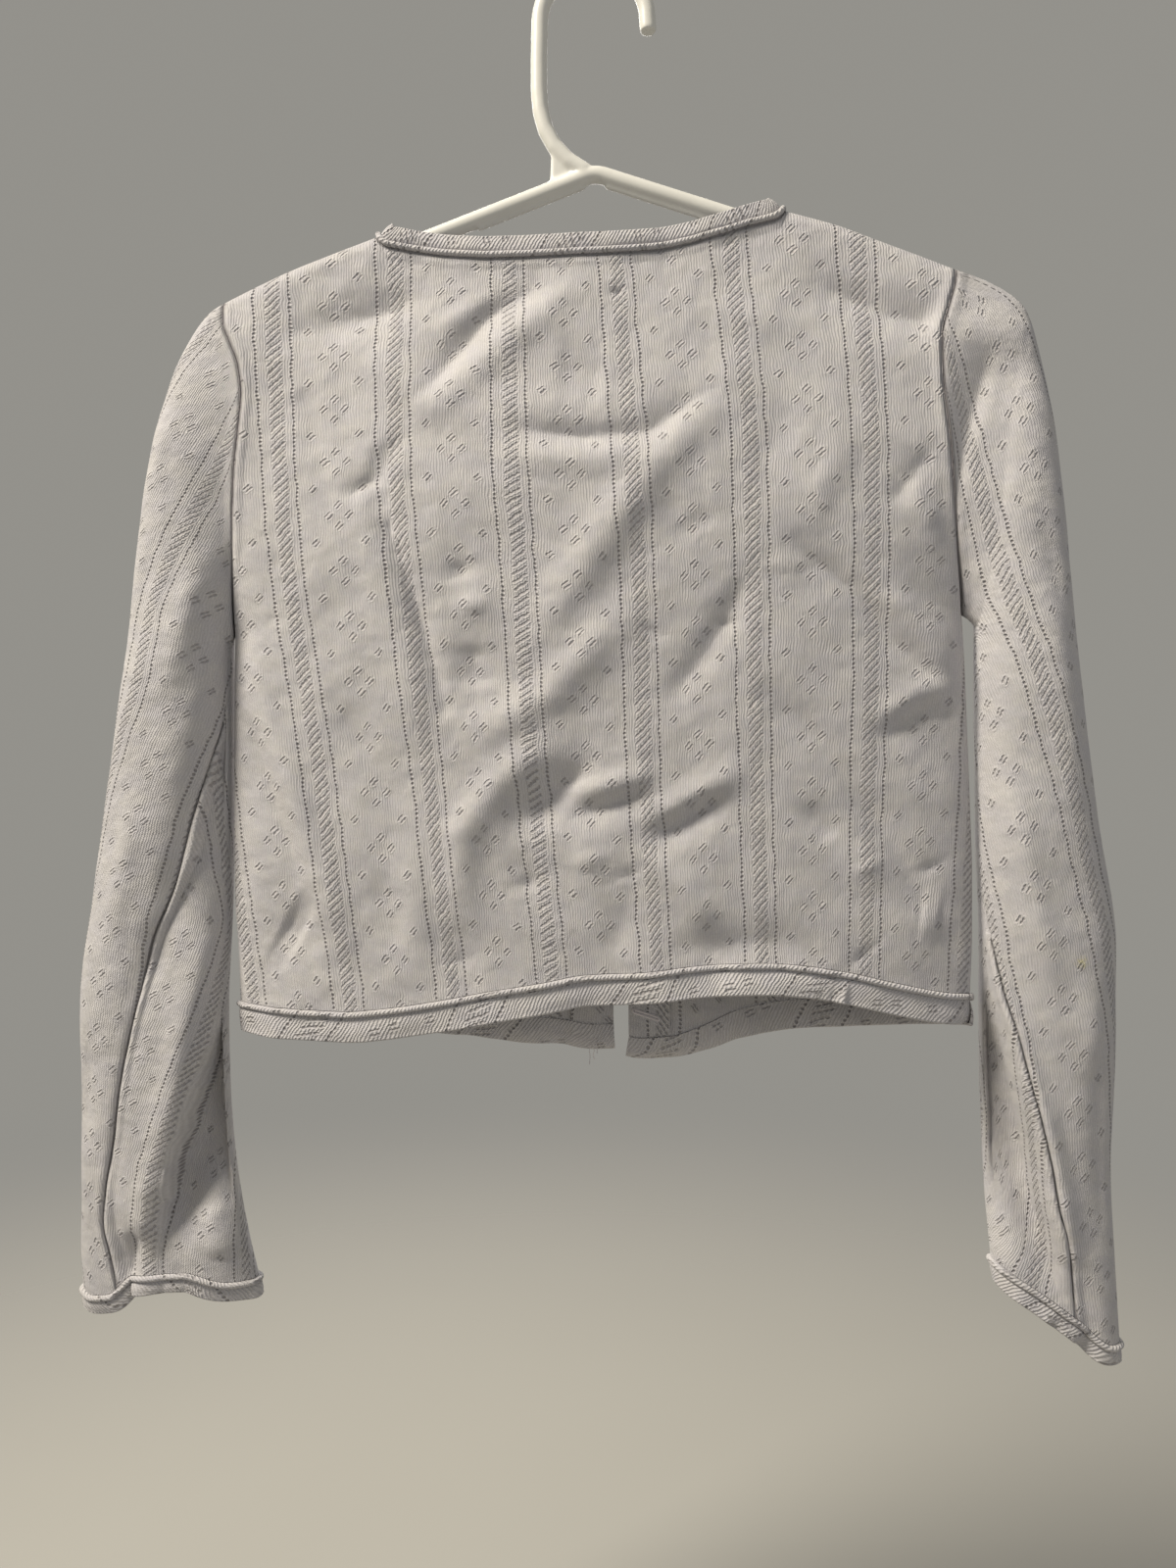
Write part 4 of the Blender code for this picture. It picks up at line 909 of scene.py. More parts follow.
def panel_grid(face, columns, row_count):
    """Points of a panel from its top edge to the hem, and where each lies on the cloth."""
    rows = np.linspace(0.0, 1.0, row_count) ** PANEL_ROW_POWER
    x, row = np.meshgrid(columns, rows)
    here, arc = panel_place(face, x, row)
    points = cloth(face, here, arc)
    at_shoulder = (row == 0.0) & ((x >= LEFT_NECK_X) | (x <= RIGHT_NECK_X))
    on_side = (x == LEFT_ARMHOLE_X) | (x == RIGHT_ARMHOLE_X)
    under_arm = row >= UNDERARM
    points[..., 1] += face * SEAM_GAP * 0.5 * (at_shoulder | (on_side & under_arm))
    points[..., 0] -= np.sign(x) * SEAM_GAP * 0.5 * (on_side & ~under_arm)
    return points, here, arc


# Where the knit's pattern falls on each piece, in repeats across and diamonds down


def back_repeats(points, here, arc):
    """The back's pattern follows its pairs of ladder lines and the diamonds between them."""
    x = points[..., 0]
    hanging = read(RIDGE, here) - arc / SHOULDER_TILT
    lines = [read(LADDERS, hanging, column) for column in range(1, 7)]
    lines = [2.0 * lines[0] - lines[1]] + lines + [2.0 * lines[-1] - lines[-2]]
    across = np.zeros(x.shape)
    for i, (line, following) in enumerate(zip(lines[:-1], lines[1:])):
        share = (line - x) / (line - following)
        low = -OUTER_REPEATS if i == 0 else 0.0
        high = OUTER_REPEATS if i == len(lines) - 2 else 1.0
        across += np.clip(share, low, high)
    over_arm = RIDGE_RADIUS * (math.pi / 2.0 - 1.0) / SHOULDER_TILT
    down = (FIRST_DIAMOND_Z - over_arm - hanging + read(DIAMOND_LIFT, across)) / DIAMOND_PITCH
    return np.stack([across, down], -1)


def front_repeats(points, here, arc):
    """A front's pattern hangs straight, with a pair of ladder lines near its edge."""
    across = (here - FRONT_PAIR_X) / REPEAT
    return np.stack([across, arc / DIAMOND_PITCH], -1)


def bias_repeats(along, across, lean):
    """The pattern on a strip cut on the bias, pulled wider as it was sewn. lean is 1 or -1."""
    u = (along * math.cos(BIAS) - lean * across * math.sin(BIAS)) / REPEAT
    v = (across * math.cos(BIAS) + lean * along * math.sin(BIAS)) / DIAMOND_PITCH
    return np.stack([u, v], -1) / BIAS_STRETCH


# Meshes


def deselect_all():
    """Leave no object selected."""
    bpy.ops.object.select_all(action="DESELECT")


def pick(obj, *others):
    """Select one object, or several of which the first is the active one."""
    deselect_all()
    for each in (obj, *others):
        each.select_set(True)
    bpy.context.view_layer.objects.active = obj


def in_edit_mode(obj):
    """Open one object for editing with all of it selected."""
    pick(obj)
    bpy.ops.object.mode_set(mode="EDIT")
    bpy.ops.mesh.select_all(action="SELECT")


def out_of_edit_mode():
    """Close the object that is open for editing."""
    bpy.ops.object.mode_set(mode="OBJECT")


def close_solid():
    """Turn all faces of the open solid outwards and close it for editing."""
    bpy.ops.mesh.select_all(action="SELECT")
    bpy.ops.mesh.normals_make_consistent(inside=False)
    out_of_edit_mode()


def apply_place():
    """Move a new primitive's place and turn into its mesh."""
    bpy.ops.object.transform_apply(location=True, rotation=True, scale=True)


def apply_modifier(obj, modifier):
    """Make a modifier's effect part of the mesh."""
    bpy.context.view_layer.objects.active = obj
    bpy.ops.object.modifier_apply(modifier=modifier.name)


def put_in_scene(name, data):
    """A new object at the origin."""
    obj = bpy.data.objects.new(name, data)
    bpy.context.scene.collection.objects.link(obj)
    return obj


def cloth_sheet(name, points, repeats, outward, seams=None):
    """A grid laid on points in mm, faces outward, with UV maps for its pattern and for its seams."""
    rows, columns = points.shape[:2]
    deselect_all()
    bpy.ops.mesh.primitive_grid_add(x_subdivisions=columns - 1, y_subdivisions=rows - 1, size=1.0)
    obj = bpy.context.object
    obj.name = name
    mesh = obj.data
    mesh.name = name
    flat = np.zeros(len(mesh.vertices) * 3)
    mesh.vertices.foreach_get("co", flat)
    flat = flat.reshape(-1, 3)
    column = np.rint((flat[:, 0] + 0.5) * (columns - 1)).astype(int)
    row = np.rint((flat[:, 1] + 0.5) * (rows - 1)).astype(int)
    mesh.vertices.foreach_set("co", (points[row, column] * MM).ravel())
    corner = np.zeros(len(mesh.loops), int)
    mesh.loops.foreach_get("vertex_index", corner)
    mesh.uv_layers[0].name = "Knit"
    mesh.uv_layers[0].data.foreach_set("uv", repeats[row[corner], column[corner]].ravel())
    if seams is None:
        seams = np.full((rows, columns), NO_SEAM)
    distances = np.stack([seams, np.zeros(seams.shape)], -1)
    mesh.uv_layers.new(name="Seams").data.foreach_set("uv", distances[row[corner], column[corner]].ravel())
    mesh.uv_layers.active_index = 0
    mesh.update()
    ways = np.zeros(len(mesh.vertices) * 3)
    mesh.vertex_normals.foreach_get("vector", ways)
    facing = (ways.reshape(-1, 3) * outward[row, column]).sum()
    if facing < 0.0:
        in_edit_mode(obj)
        bpy.ops.mesh.flip_normals()
        out_of_edit_mode()
    return obj


def close_seam(obj):
    """Merge the first and the last line of a sheet that goes all the way round."""
    in_edit_mode(obj)
    bpy.ops.mesh.remove_doubles(threshold=SEAM_MERGE * MM)
    out_of_edit_mode()


def close_ends(obj):
    """Close the open ends of a folded band, and turn its faces out."""
    in_edit_mode(obj)
    bpy.ops.mesh.select_all(action="DESELECT")
    bpy.ops.mesh.select_non_manifold()
    bpy.ops.mesh.edge_face_add()
    close_solid()


def give_wall(obj, thickness):
    """Give a sheet its thickness, half to each side."""
    wall = obj.modifiers.new("Wall", "SOLIDIFY")
    wall.thickness = thickness
    wall.offset = 0.0
    apply_modifier(obj, wall)


def finish_piece(obj, material, nodes, angle=55.0):
    """Smooth a piece, give it its material, and let it stand for its solids."""
    pick(obj)
    bpy.ops.object.shade_smooth_by_angle(angle=math.radians(angle))
    if not obj.data.materials:
        obj.data.materials.append(material)
    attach(obj, "root")
    if nodes:
        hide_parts(*nodes)


# Panels


def edge_distance(points, axis, both):
    """Distance along the cloth from the first line of a grid, or from the nearer of the two ends."""
    length = running_length(points, axis)
    return np.minimum(length, length.max(axis=axis, keepdims=True) - length) if both else length


def make_panel(name, face, columns, row_count, repeats, material, node):
    """Lay out one panel, give it its wall and let it stand for its solid."""
    points, here, arc = panel_grid(face, columns, row_count)
    from_side = edge_distance(points, 1, face > 0)
    if face < 0 and abs(columns[0]) < abs(columns[-1]):
        from_side = edge_distance(points[:, ::-1], 1, False)[:, ::-1]
    seams = np.minimum(from_side, edge_distance(points, 0, False))
    outward = np.full(points.shape, (0.0, face, 0.0))
    panel = cloth_sheet(name, points, repeats(points, here, arc), outward, seams)
    give_wall(panel, bpy.context.scene.cardigan_knit.wall)
    finish_piece(panel, material, [node])


class CARDIGAN_OT_panels(Operator):
    """Knit the back and the two fronts, with their folds and the lace pattern"""

    bl_idname = "cardigan.panels"
    bl_label = "Panels"

    def execute(self, context):
        knit = knit_material("pointelle_knit_cloth")
        left = [x for x in NECK_CORNERS if x > 0.0]
        right = [x for x in NECK_CORNERS if x < 0.0]
        columns = panel_columns(LEFT_ARMHOLE_X, RIGHT_ARMHOLE_X, BACK_GRID[1], NECK_CORNERS)
        make_panel("back_knit", 1, columns, BACK_GRID[0], back_repeats, knit, "back")
        columns = panel_columns(LEFT_ARMHOLE_X, LEFT_EDGE_X, FRONT_GRID[1], left)
        make_panel("front_left_knit", -1, columns, FRONT_GRID[0], front_repeats, knit, "front_left")
        columns = panel_columns(RIGHT_EDGE_X, RIGHT_ARMHOLE_X, FRONT_GRID[1], right)
        make_panel("front_right_knit", -1, columns, FRONT_GRID[0], front_repeats, knit, "front_right")
        return {"FINISHED"}


# Sleeves


def armhole(side_x, share):
    """Points round an armhole, from the shoulder down the back, under the arm and up the front."""
    row = read(ARMHOLE_STOPS, np.minimum(share, 1.0 - share))
    side = np.full(row.shape, side_x)
    back = cloth(1, *panel_place(1, side, row))
    front = cloth(-1, *panel_place(-1, side, row))
    return np.where((share <= 0.5)[..., None], back, front)


def lap_drop(spec, x, z):
    """How far the near side falls back behind the edges where the cloth folds under itself."""
    total = np.zeros(np.broadcast(x, z).shape)
    for edge in spec["laps"]:
        height = np.clip(z, edge[0][0], edge[-1][0])
        past = (read(edge, height) - x) * math.copysign(1.0, spec["side_x"])
        back = mix(1.0, LAP_RETURN, ease((past - LAP_FLOOR[0]) / LAP_FLOOR[1]))
        total += read(edge, height, 2) * ease((past + LAP_EARLY) / LAP_TURN) * back
    return total


def past_seam(spec, t, share):
    """Length of cloth from the strip along the long seam to a point."""
    return (share - read(spec["seam"], t)) * FOLD_GIRTH - FOLD_STRIP


def fold_drop(spec, t, share):
    """How far the near side falls back on the inner side of the long seam."""
    past = past_seam(spec, t, share)
    back = mix(1.0, FOLD_RETURN, ease((past - FOLD_FLOOR[0]) / FOLD_FLOOR[1]))
    return read(spec["fold"], t) * ease(past / LAP_TURN) * back


def fold_length(spec, t, share):
    """Length of cloth that the fold takes up between the long seam and a point."""
    past = past_seam(spec, t, share)
    risen = (1.0 - FOLD_RETURN) * ease((past - FOLD_FLOOR[0]) / FOLD_FLOOR[1])
    return read(spec["fold"], t) * (ease(past / LAP_TURN) + risen)


def sleeve_cloth(spec, t, share):
    """Points on the middle of a sleeve. t runs from the armhole to the cuff, share goes round it."""
    rows = [(i / (len(spec["sections"]) - 1),) + row for i, row in enumerate(spec["sections"])]
    outer_x, outer_z, inner_x, inner_z, near, far = (read(rows, t, k) for k in range(1, 7))
    start = armhole(spec["side_x"], share)
    shoulder, underarm = armhole(spec["side_x"], np.array([0.0, 0.5]))
    fall = np.abs(start[..., 2] - shoulder[2]) / abs(underarm[2] - shoulder[2])
    angle = 2.0 * math.pi * share
    cosine = mix(1.0 - 2.0 * fall, np.cos(angle), ease(t / SLEEVE_OWN_SHAPE))
    way = np.where(share <= 0.5, 1.0, -1.0)
    sine = way * (1.0 - np.minimum(cosine * cosine, 1.0)) ** 0.5
    along = np.sign(cosine) * np.abs(cosine) ** SLEEVE_WIDTH_POWER
    x = mix(outer_x, inner_x, 0.5 - 0.5 * along)
    z = mix(outer_z, inner_z, 0.5 - 0.5 * along)
    bulge = np.abs(sine) ** SLEEVE_DEPTH_POWER
    calm = ease(np.abs(sine) * SLEEVE_CALM)
    uneven = ripple(x, z, spec["side_x"])
    far_y = -bulge * far - (crease_relief(spec["far"], x, z) + uneven) * calm
    near_folds = crease_relief(spec["near"], x, z) - lap_drop(spec, x, z)
    near_folds = near_folds - fold_drop(spec, t, share)
    near_y = bulge * near + (near_folds + uneven) * calm
    y = np.where(way > 0.0, np.maximum(near_y, far_y + SIDES_APART * calm), far_y)
    y = y - read(spec["fold"], t) * FOLD_SAG * ((1.0 - cosine) / 2.0) ** 2
    rise = read(spec["rise"], (1.0 - cosine) * 0.5) * ease(sine + CUFF_RISE_ROUND)
    z = z + rise * ease((t - CUFF_START) / (1.0 - CUFF_START))
    lap = SLEEVE_GAP + SEAM_LAP * ease((fall - LAP_START) / LAP_REACH)
    start[..., 0] += math.copysign(1.0, spec["side_x"]) * lap
    join = 1.0 - ease(t / SLEEVE_JOIN)
    return mix(np.stack([x, y, z], -1), start, join[..., None])


def sleeve_grid(spec, row_count, column_count):
    """A sleeve's points, from its long seam round its outer edge and back to the seam."""
    rows = np.linspace(0.0, 1.0, row_count) ** SLEEVE_ROW_POWER
    seam = np.clip(read(spec["seam"], rows), 0.0, 0.5)
    walk = np.linspace(0.0, 1.0, column_count)
    walk = walk - SEAM_CROWD * np.sin(2.0 * math.pi * walk) / (2.0 * math.pi)
    share = (seam[:, None] - walk) % 1.0
    share[:, 0] = share[:, -1] = seam
    return sleeve_cloth(spec, np.broadcast_to(rows[:, None], share.shape), share), rows, seam, walk


def sleeve_width(spec, z):
    """The x of a sleeve's outer and inner edge at a height."""
    sections = spec["sections"][::-1]
    outer = read([(row[1], row[0]) for row in sections], np.maximum(z, sections[0][1]))
    inner = read([(row[3], row[2]) for row in sections], np.minimum(z, sections[-1][3]))
    side = read(LEFT_SIDE if spec["side_x"] > 0.0 else RIGHT_SIDE, z)
    return outer, mix(inner, side, ease((z - sections[-1][3] + SIDE_BLEND / 2.0) / SIDE_BLEND))


def round_length(spec, x, z):
    """Length round a sleeve's near side from its outer edge, and the sleeve's whole girth there."""
    outer, inner = sleeve_width(spec, z)
    half = np.abs(outer - inner) / 2.0
    place = np.clip((x - (outer + inner) / 2.0) / ((outer - inner) / 2.0), -1.0, 1.0)
    angles = np.linspace(0.0, math.pi, SECTION_STEPS)
    steps = np.hypot(np.sin(angles), SLEEVE_ROUNDNESS * np.cos(angles)) * (angles[1] - angles[0])
    lengths = np.concatenate([[0.0], np.cumsum((steps[1:] + steps[:-1]) / 2.0)])
    return half * np.interp(np.arccos(place), angles, lengths), 2.0 * half * lengths[-1]


def sleeve_repeats(spec, points, rows, seam, walk):
    """A sleeve's pattern follows the ladder pairs seen on either side of its long seam."""
    x, z = points[..., 0], points[..., 2]
    near, girth = round_length(spec, x, z)
    first = read(spec["grain"], z)
    last = read(spec["grain"], z, 2)
    start = first / SLEEVE_REPEAT
    turned = walk[None, :] - seam[:, None]
    share = (seam[:, None] - walk[None, :]) % 1.0
    rows = np.broadcast_to(rows[:, None], share.shape)
    hidden = fold_length(spec, rows, share)
    all_hidden = fold_length(spec, rows, np.full(share.shape, 0.5))
    turn = SLEEVE_REPEATS_ROUND + (last - girth / 2.0 - all_hidden) / SLEEVE_REPEAT
    u = start - near / SLEEVE_REPEAT
    u = np.where(turned > 0.0, mix(start, turn, 2.0 * near / girth), u)
    u = np.where(turned > 0.5, SLEEVE_REPEATS_ROUND + (last - near - hidden) / SLEEVE_REPEAT, u)
    v = (-z * math.cos(SLEEVE_SLANT) - near * math.sin(SLEEVE_SLANT)) / DIAMOND_PITCH
    return np.stack([u * math.copysign(1.0, -spec["side_x"]), v], -1)


SLEEVES = {
    "left": {
        "side_x": LEFT_ARMHOLE_X, "sections": LEFT_SLEEVE, "near": LEFT_SLEEVE_NEAR,
        "far": LEFT_SLEEVE_FAR, "rise": LEFT_CUFF_RISE, "grain": LEFT_SLEEVE_GRAIN,
        "laps": LEFT_SLEEVE_LAPS, "seam": LEFT_SLEEVE_SEAM, "fold": LEFT_SLEEVE_FOLD,
    },
    "right": {
        "side_x": RIGHT_ARMHOLE_X, "sections": RIGHT_SLEEVE, "near": RIGHT_SLEEVE_NEAR,
        "far": RIGHT_SLEEVE_FAR, "rise": RIGHT_CUFF_RISE, "grain": RIGHT_SLEEVE_GRAIN,
        "laps": RIGHT_SLEEVE_LAPS, "seam": RIGHT_SLEEVE_SEAM, "fold": RIGHT_SLEEVE_FOLD,
    },
}


def sink_seam(points, from_seam, outward, shown):
    """Draw the cloth in along a sleeve's long seam, where it is sewn and can be seen."""
    normals = np.cross(np.gradient(points, axis=0), np.gradient(points, axis=1))
    normals = unit(normals * np.sign((normals * outward).sum(-1, keepdims=True)))
    normals[:, 0] = normals[:, -1] = unit(normals[:, 0] + normals[:, -1])
    to_cuff = np.arange(len(points))[::-1]
    depth = SEAM_SINK * np.exp(-(from_seam / SEAM_SINK_REACH) ** 2)
    depth *= (shown * ease(to_cuff / SEAM_FADE_ROWS))[:, None]
    return points - normals * depth[..., None]


def make_sleeve(side, material):
    """Lay out one sleeve, close it along its seam, and let it stand for its solid."""
    spec = SLEEVES[side]
    points, rows, seam, walk = sleeve_grid(spec, *SLEEVE_GRID)
    outward = points - points.mean(axis=1, keepdims=True)
    repeats = sleeve_repeats(spec, points, rows, seam, walk)
    from_seam = edge_distance(points, 1, True)
    shown = ease((0.5 - seam) / SEAM_SHOWN)
    points = sink_seam(points, from_seam, outward, shown)
    from_seam = from_seam + NO_SEAM * (1.0 - shown[:, None])
    seams = np.minimum(from_seam, edge_distance(points, 0, False))
    sleeve = cloth_sheet("sleeve_" + side + "_knit", points, repeats, outward, seams)
    close_seam(sleeve)
    give_wall(sleeve, bpy.context.scene.cardigan_knit.wall)
    finish_piece(sleeve, material, ["sleeve_" + side])


class CARDIGAN_OT_sleeves(Operator):
    """Knit the two sleeves, which hang from the armholes with their own folds"""

    bl_idname = "cardigan.sleeves"
    bl_label = "Sleeves"

    def execute(self, context):
        make_sleeve("left", knit_material("pointelle_knit_left_sleeve"))
        make_sleeve("right", knit_material("pointelle_knit_right_sleeve", stain=True))
        return {"FINISHED"}


# Bindings


def binding_profile(height):
    """Section of a folded binding: distance from the seam and distance out, cord and all."""
    trim = bpy.context.scene.cardigan_trim
    half, cord = trim.half, trim.cord
    middle = SEAM_GAP + cord
    points = [(SEAM_GAP, -half), (SEAM_GAP, 0.0)]
    points += arc_points(middle, half, cord, 180.0, -30.0, 7)
    face_start = middle + cord * FACE_START
    face_end = height - half
    for share in np.linspace(0.0, 1.0, FACE_POINTS):
        swell = FACE_SWELL * math.sin(math.pi * share) ** 0.5
        points.append((mix(face_start, face_end, share), half - FACE_SUNK + swell))
    points += arc_points(face_end, 0.0, half, 60.0, -90.0, 5)
    points.append((mix(SEAM_GAP, face_end, 0.5), -half * BACK_SWELL))
    return points


def curl(along, up, hinge, height, flick):
    """Curl the part of a section past the hinge outward, a little at a time."""
    past = max(along - hinge, 0.0)
    bent = along - past
    raised = 0.0
    for k in range(CURL_STEPS):
        angle = flick * ease((k + 0.5) / CURL_STEPS * past / (height - hinge) * CURL_RATE)
        bent = bent + past / CURL_STEPS * np.cos(angle)
        raised = raised + past / CURL_STEPS * np.sin(angle)
    angle = flick * ease(past / (height - hinge) * CURL_RATE)
    return bent - up * np.sin(angle), raised + up * np.cos(angle)


def smooth_along(values, closed, times=3):
    """Even out directions along a path."""
    for _ in range(times):
        before = np.roll(values, 1, axis=0)
        after = np.roll(values, -1, axis=0)
        if not closed:
            before[0] = values[0]
            after[-1] = values[-1]
        values = unit(before + 2.0 * values + after)
    return values


def make_binding(name, frames, height, closed, lean, nodes, material):
    """Sweep a binding's section along a path of points, outward directions and directions away."""
    points, out, away, flick = frames
    hinge = SEAM_GAP + bpy.context.scene.cardigan_trim.cord * CURL_HINGE
    if closed:
        points, out, away, flick = (np.concatenate([v, v[:1]]) for v in (points, out, away, flick))
    length = running_length(points)
    lines = []
    spread = []
    profile = binding_profile(height)
    profile.append(profile[0])
    walked = 0.0
    for i, (along, up) in enumerate(profile):
        if i:
            walked += math.dist(profile[i - 1], profile[i])
        waves = sum(tall * np.sin(length / long + drift * along) for tall, long, drift in BINDING_WAVES)
        bent, raised = curl(along, up + waves * (along > hinge), hinge, height, flick)
        lines.append(points + away * bent[:, None] + out * raised[:, None])
        spread.append(bias_repeats(length, walked, lean))
    grid = np.stack(lines)
    outward = grid - grid.mean(axis=0, keepdims=True)
    band = cloth_sheet(name, grid, np.stack(spread), outward)
    close_seam(band)
    close_ends(band)
    finish_piece(band, material, nodes, angle=70.0)


def edge_frames(stops, row, down):
    """Frames along the panels' edges. stops holds rows of face and x; down is 1 below the hem."""
    points = np.zeros((len(stops), 3))
    out = np.zeros((len(stops), 3))
    for face in (1, -1):
        mine = stops[:, 0] == face
        here, arc = panel_place(face, stops[mine, 1], np.full(mine.sum(), row))
        points[mine] = cloth(face, here, arc)
        out[mine] = cloth_normals(face, here, arc)
    along = unit(np.gradient(points, axis=0))
    out = unit(out - along * (out * along).sum(-1, keepdims=True))
    out = smooth_along(out, False)
    away = unit(np.cross(out, along)) * -down
    return points, out, away


def edge_stops(face, start, end, count):
    """Rows of face and x along a panel's edge, from one x to another."""
    x = panel_columns(max(start, end), min(start, end), count)
    if start < end:
        x = x[::-1]
    return np.stack([np.full(count, float(face)), x], -1)


def neck_frames():
    """Frames round the neck, from the left front's edge to the right front's."""
    left = edge_stops(-1, LEFT_EDGE_X, LEFT_NECK_X, NECK_STOPS[0])[:-1]
    back = edge_stops(1, LEFT_NECK_X, RIGHT_NECK_X, NECK_STOPS[1])
    right = edge_stops(-1, RIGHT_NECK_X, RIGHT_EDGE_X, NECK_STOPS[2])[1:]
    stops = np.concatenate([left, back, right])
    points, out, away = edge_frames(stops, 0.0, -1.0)
    lean = np.radians(read(NECK_LEAN, stops[:, 1]))
    upright = np.stack([-np.sin(lean), np.zeros(len(lean)), np.cos(lean)], -1)
    level = unit(away * np.array((1.0, 0.0, 1.0)))
    away = np.where(stops[:, :1] > 0.0, upright, level)
    away = smooth_along(away, False, NECK_SMOOTHING)
    out = smooth_along(out, False, NECK_SMOOTHING)
    out = unit(out - away * (out * away).sum(-1, keepdims=True))
    return points, out, away, np.zeros(len(points))


def hem_frames():
    """Frames along the hem, from the left front's edge to the right front's."""
    left = edge_stops(-1, LEFT_EDGE_X, LEFT_ARMHOLE_X, HEM_STOPS[0])
    back = edge_stops(1, LEFT_ARMHOLE_X, RIGHT_ARMHOLE_X, HEM_STOPS[1])[1:-1]
    right = edge_stops(-1, RIGHT_ARMHOLE_X, RIGHT_EDGE_X, HEM_STOPS[2])
    stops = np.concatenate([left, back, right])
    points, out, away = edge_frames(stops, 1.0, 1.0)
    flick = on_front(HEM_FLICK_LEFT, HEM_FLICK_RIGHT, stops[:, 1])
    return points, out, away, np.radians(flick) * (stops[:, 0] < 0.0)


def cuff_frames(spec):
    """Frames round a sleeve's lower edge."""
    grid = sleeve_grid(spec, *CUFF_GRID)[0]
    points = grid[-1, :-1]
    along = unit(np.roll(points, -1, axis=0) - np.roll(points, 1, axis=0))
    down = unit(grid[-1, :-1] - grid[-2, :-1])
    out = np.cross(down, along)
    centre = points.mean(axis=0)
    if (out * (points - centre)).sum() < 0.0:
        out = -out
    out = smooth_along(unit(out - along * (out * along).sum(-1, keepdims=True)), True)
    away = np.cross(out, along)
    away = unit(away * np.sign((away * down).sum(-1, keepdims=True)))
    return points, out, away, np.zeros(len(points))


class CARDIGAN_OT_bindings(Operator):
    """Fold the bias bindings round the neck, the hem and the cuffs, each with a cord at its seam"""

    bl_idname = "cardigan.bindings"
    bl_label = "Bindings"

    def execute(self, context):
        knit = knit_material("bias_knit_binding", ribbing=BIAS_RIBS)
        make_binding("neck_band", neck_frames(), NECK_BINDING, False, 1.0,
                     ["neck_binding"], knit)
        make_binding("hem_band", hem_frames(), HEM_BINDING, False, -1.0,
                     ["hem_binding"], knit)
        for side, spec in SLEEVES.items():
            make_binding("cuff_band_" + side, cuff_frames(spec), CUFF_BINDING, True, -1.0,
                         ["cuff_binding_" + side], knit)
        return {"FINISHED"}


# Facings, inside the fronts


def front_points(x, arc, inset):
    """Points a little inside or outside a front. inset is positive towards the wearer."""
    return cloth(-1, x, arc) - cloth_normals(-1, x, arc) * inset


def make_facing(side, edge_x, far_x, material):
    """Lay out the strip inside one front's edge, and let it stand for its solid."""
    rows = np.linspace(0.0, FACING_LENGTH, FACING_GRID[0])
    x, row = np.meshgrid(np.linspace(edge_x, far_x, FACING_GRID[1]), rows)
    here, arc = panel_place(-1, x, row)
    points = front_points(here, arc, FACING_INSET)
    strip = cloth_sheet("facing_" + side + "_strip", points, front_repeats(points, here, arc),
                        cloth_normals(-1, here, arc))
    give_wall(strip, FACING_WALL * MM)
    finish_piece(strip, material, ["facing_" + side])


class CARDIGAN_OT_facings(Operator):
    """Line the front edges with the strips that carry the buttons and the buttonholes"""

    bl_idname = "cardigan.facings"
    bl_label = "Facings"

    def execute(self, context):
        knit = knit_material("facing_knit")
        make_facing("left", LEFT_EDGE_X, LEFT_EDGE_X + FACING_WIDTH, knit)
        make_facing("right", RIGHT_EDGE_X, RIGHT_EDGE_X - FACING_WIDTH, knit)
        return {"FINISHED"}


# Buttons


def closure_places(x):
    """Lengths down a front's cloth at which its buttons or buttonholes sit."""
    first = float(panel_place(-1, np.array(x), np.array(0.0))[1]) + FIRST_BUTTON
    last = float(hem_arc(-1, np.array(x))) - LAST_BUTTON
    return [mix(first, last, i / (BUTTON_COUNT - 1)) for i in range(BUTTON_COUNT)]


def seat_on_front(x, arc, lift):
    """Where a small piece sits on a front: a matrix with its z axis pointing out of the cloth."""
    here = np.array(x)
    down = np.array(arc)
    normal = Vector(cloth_normals(-1, here, down))
    place = Vector(cloth(-1, here, down)) + normal * lift
    below = Vector(cloth(-1, here, down + 1.0) - cloth(-1, here, down - 1.0))
    up = -(below - normal * below.dot(normal)).normalized()
    side = up.cross(normal).normalized()
    turn = Matrix((side, up, normal)).transposed()
    return Matrix.Translation(place * MM) @ turn.to_4x4()


def select_flat_top(obj, height):
    """Select the faces that lie at one height and face up."""
    shape = bmesh.from_edit_mesh(obj.data)
    for face in shape.faces:
        face.select = face.normal.z > 0.9 and abs(face.calc_center_median().z - height) < 0.01 * MM
    bmesh.update_edit_mesh(obj.data)


def drill_hole(button, x, y):
    """Cut a round hole right through a button."""
    bpy.ops.mesh.primitive_cylinder_add(
        vertices=16, radius=HOLE_RADIUS * MM, depth=DRILL_LENGTH * MM, location=(x, y, 0.0))
    drill = bpy.context.object
    hole = button.modifiers.new("Hole", "BOOLEAN")
    hole.operation = "DIFFERENCE"
    hole.solver = "EXACT"
    hole.object = drill
    apply_modifier(button, hole)
    bpy.data.objects.remove(drill, do_unlink=True)


def sew_strand(y, thread):
    """One strand of thread through two holes: a ring, pulled flat over the button."""
    deselect_all()
    bpy.ops.mesh.primitive_torus_add(
        major_segments=20, minor_segments=6, major_radius=HOLE_OFFSET * MM,
        minor_radius=THREAD_RADIUS * MM, rotation=(math.pi / 2.0, 0.0, 0.0),
        location=(0.0, y * MM, THREAD_HEIGHT * MM))
    strand = bpy.context.object
    apply_place()
    for vertex in strand.data.vertices:
        rise = vertex.co.z - THREAD_HEIGHT * MM
        vertex.co.z = THREAD_HEIGHT * MM + rise * (THREAD_FLAT if rise > 0.0 else THREAD_DEEP)
    strand.data.materials.append(thread)
    return strand


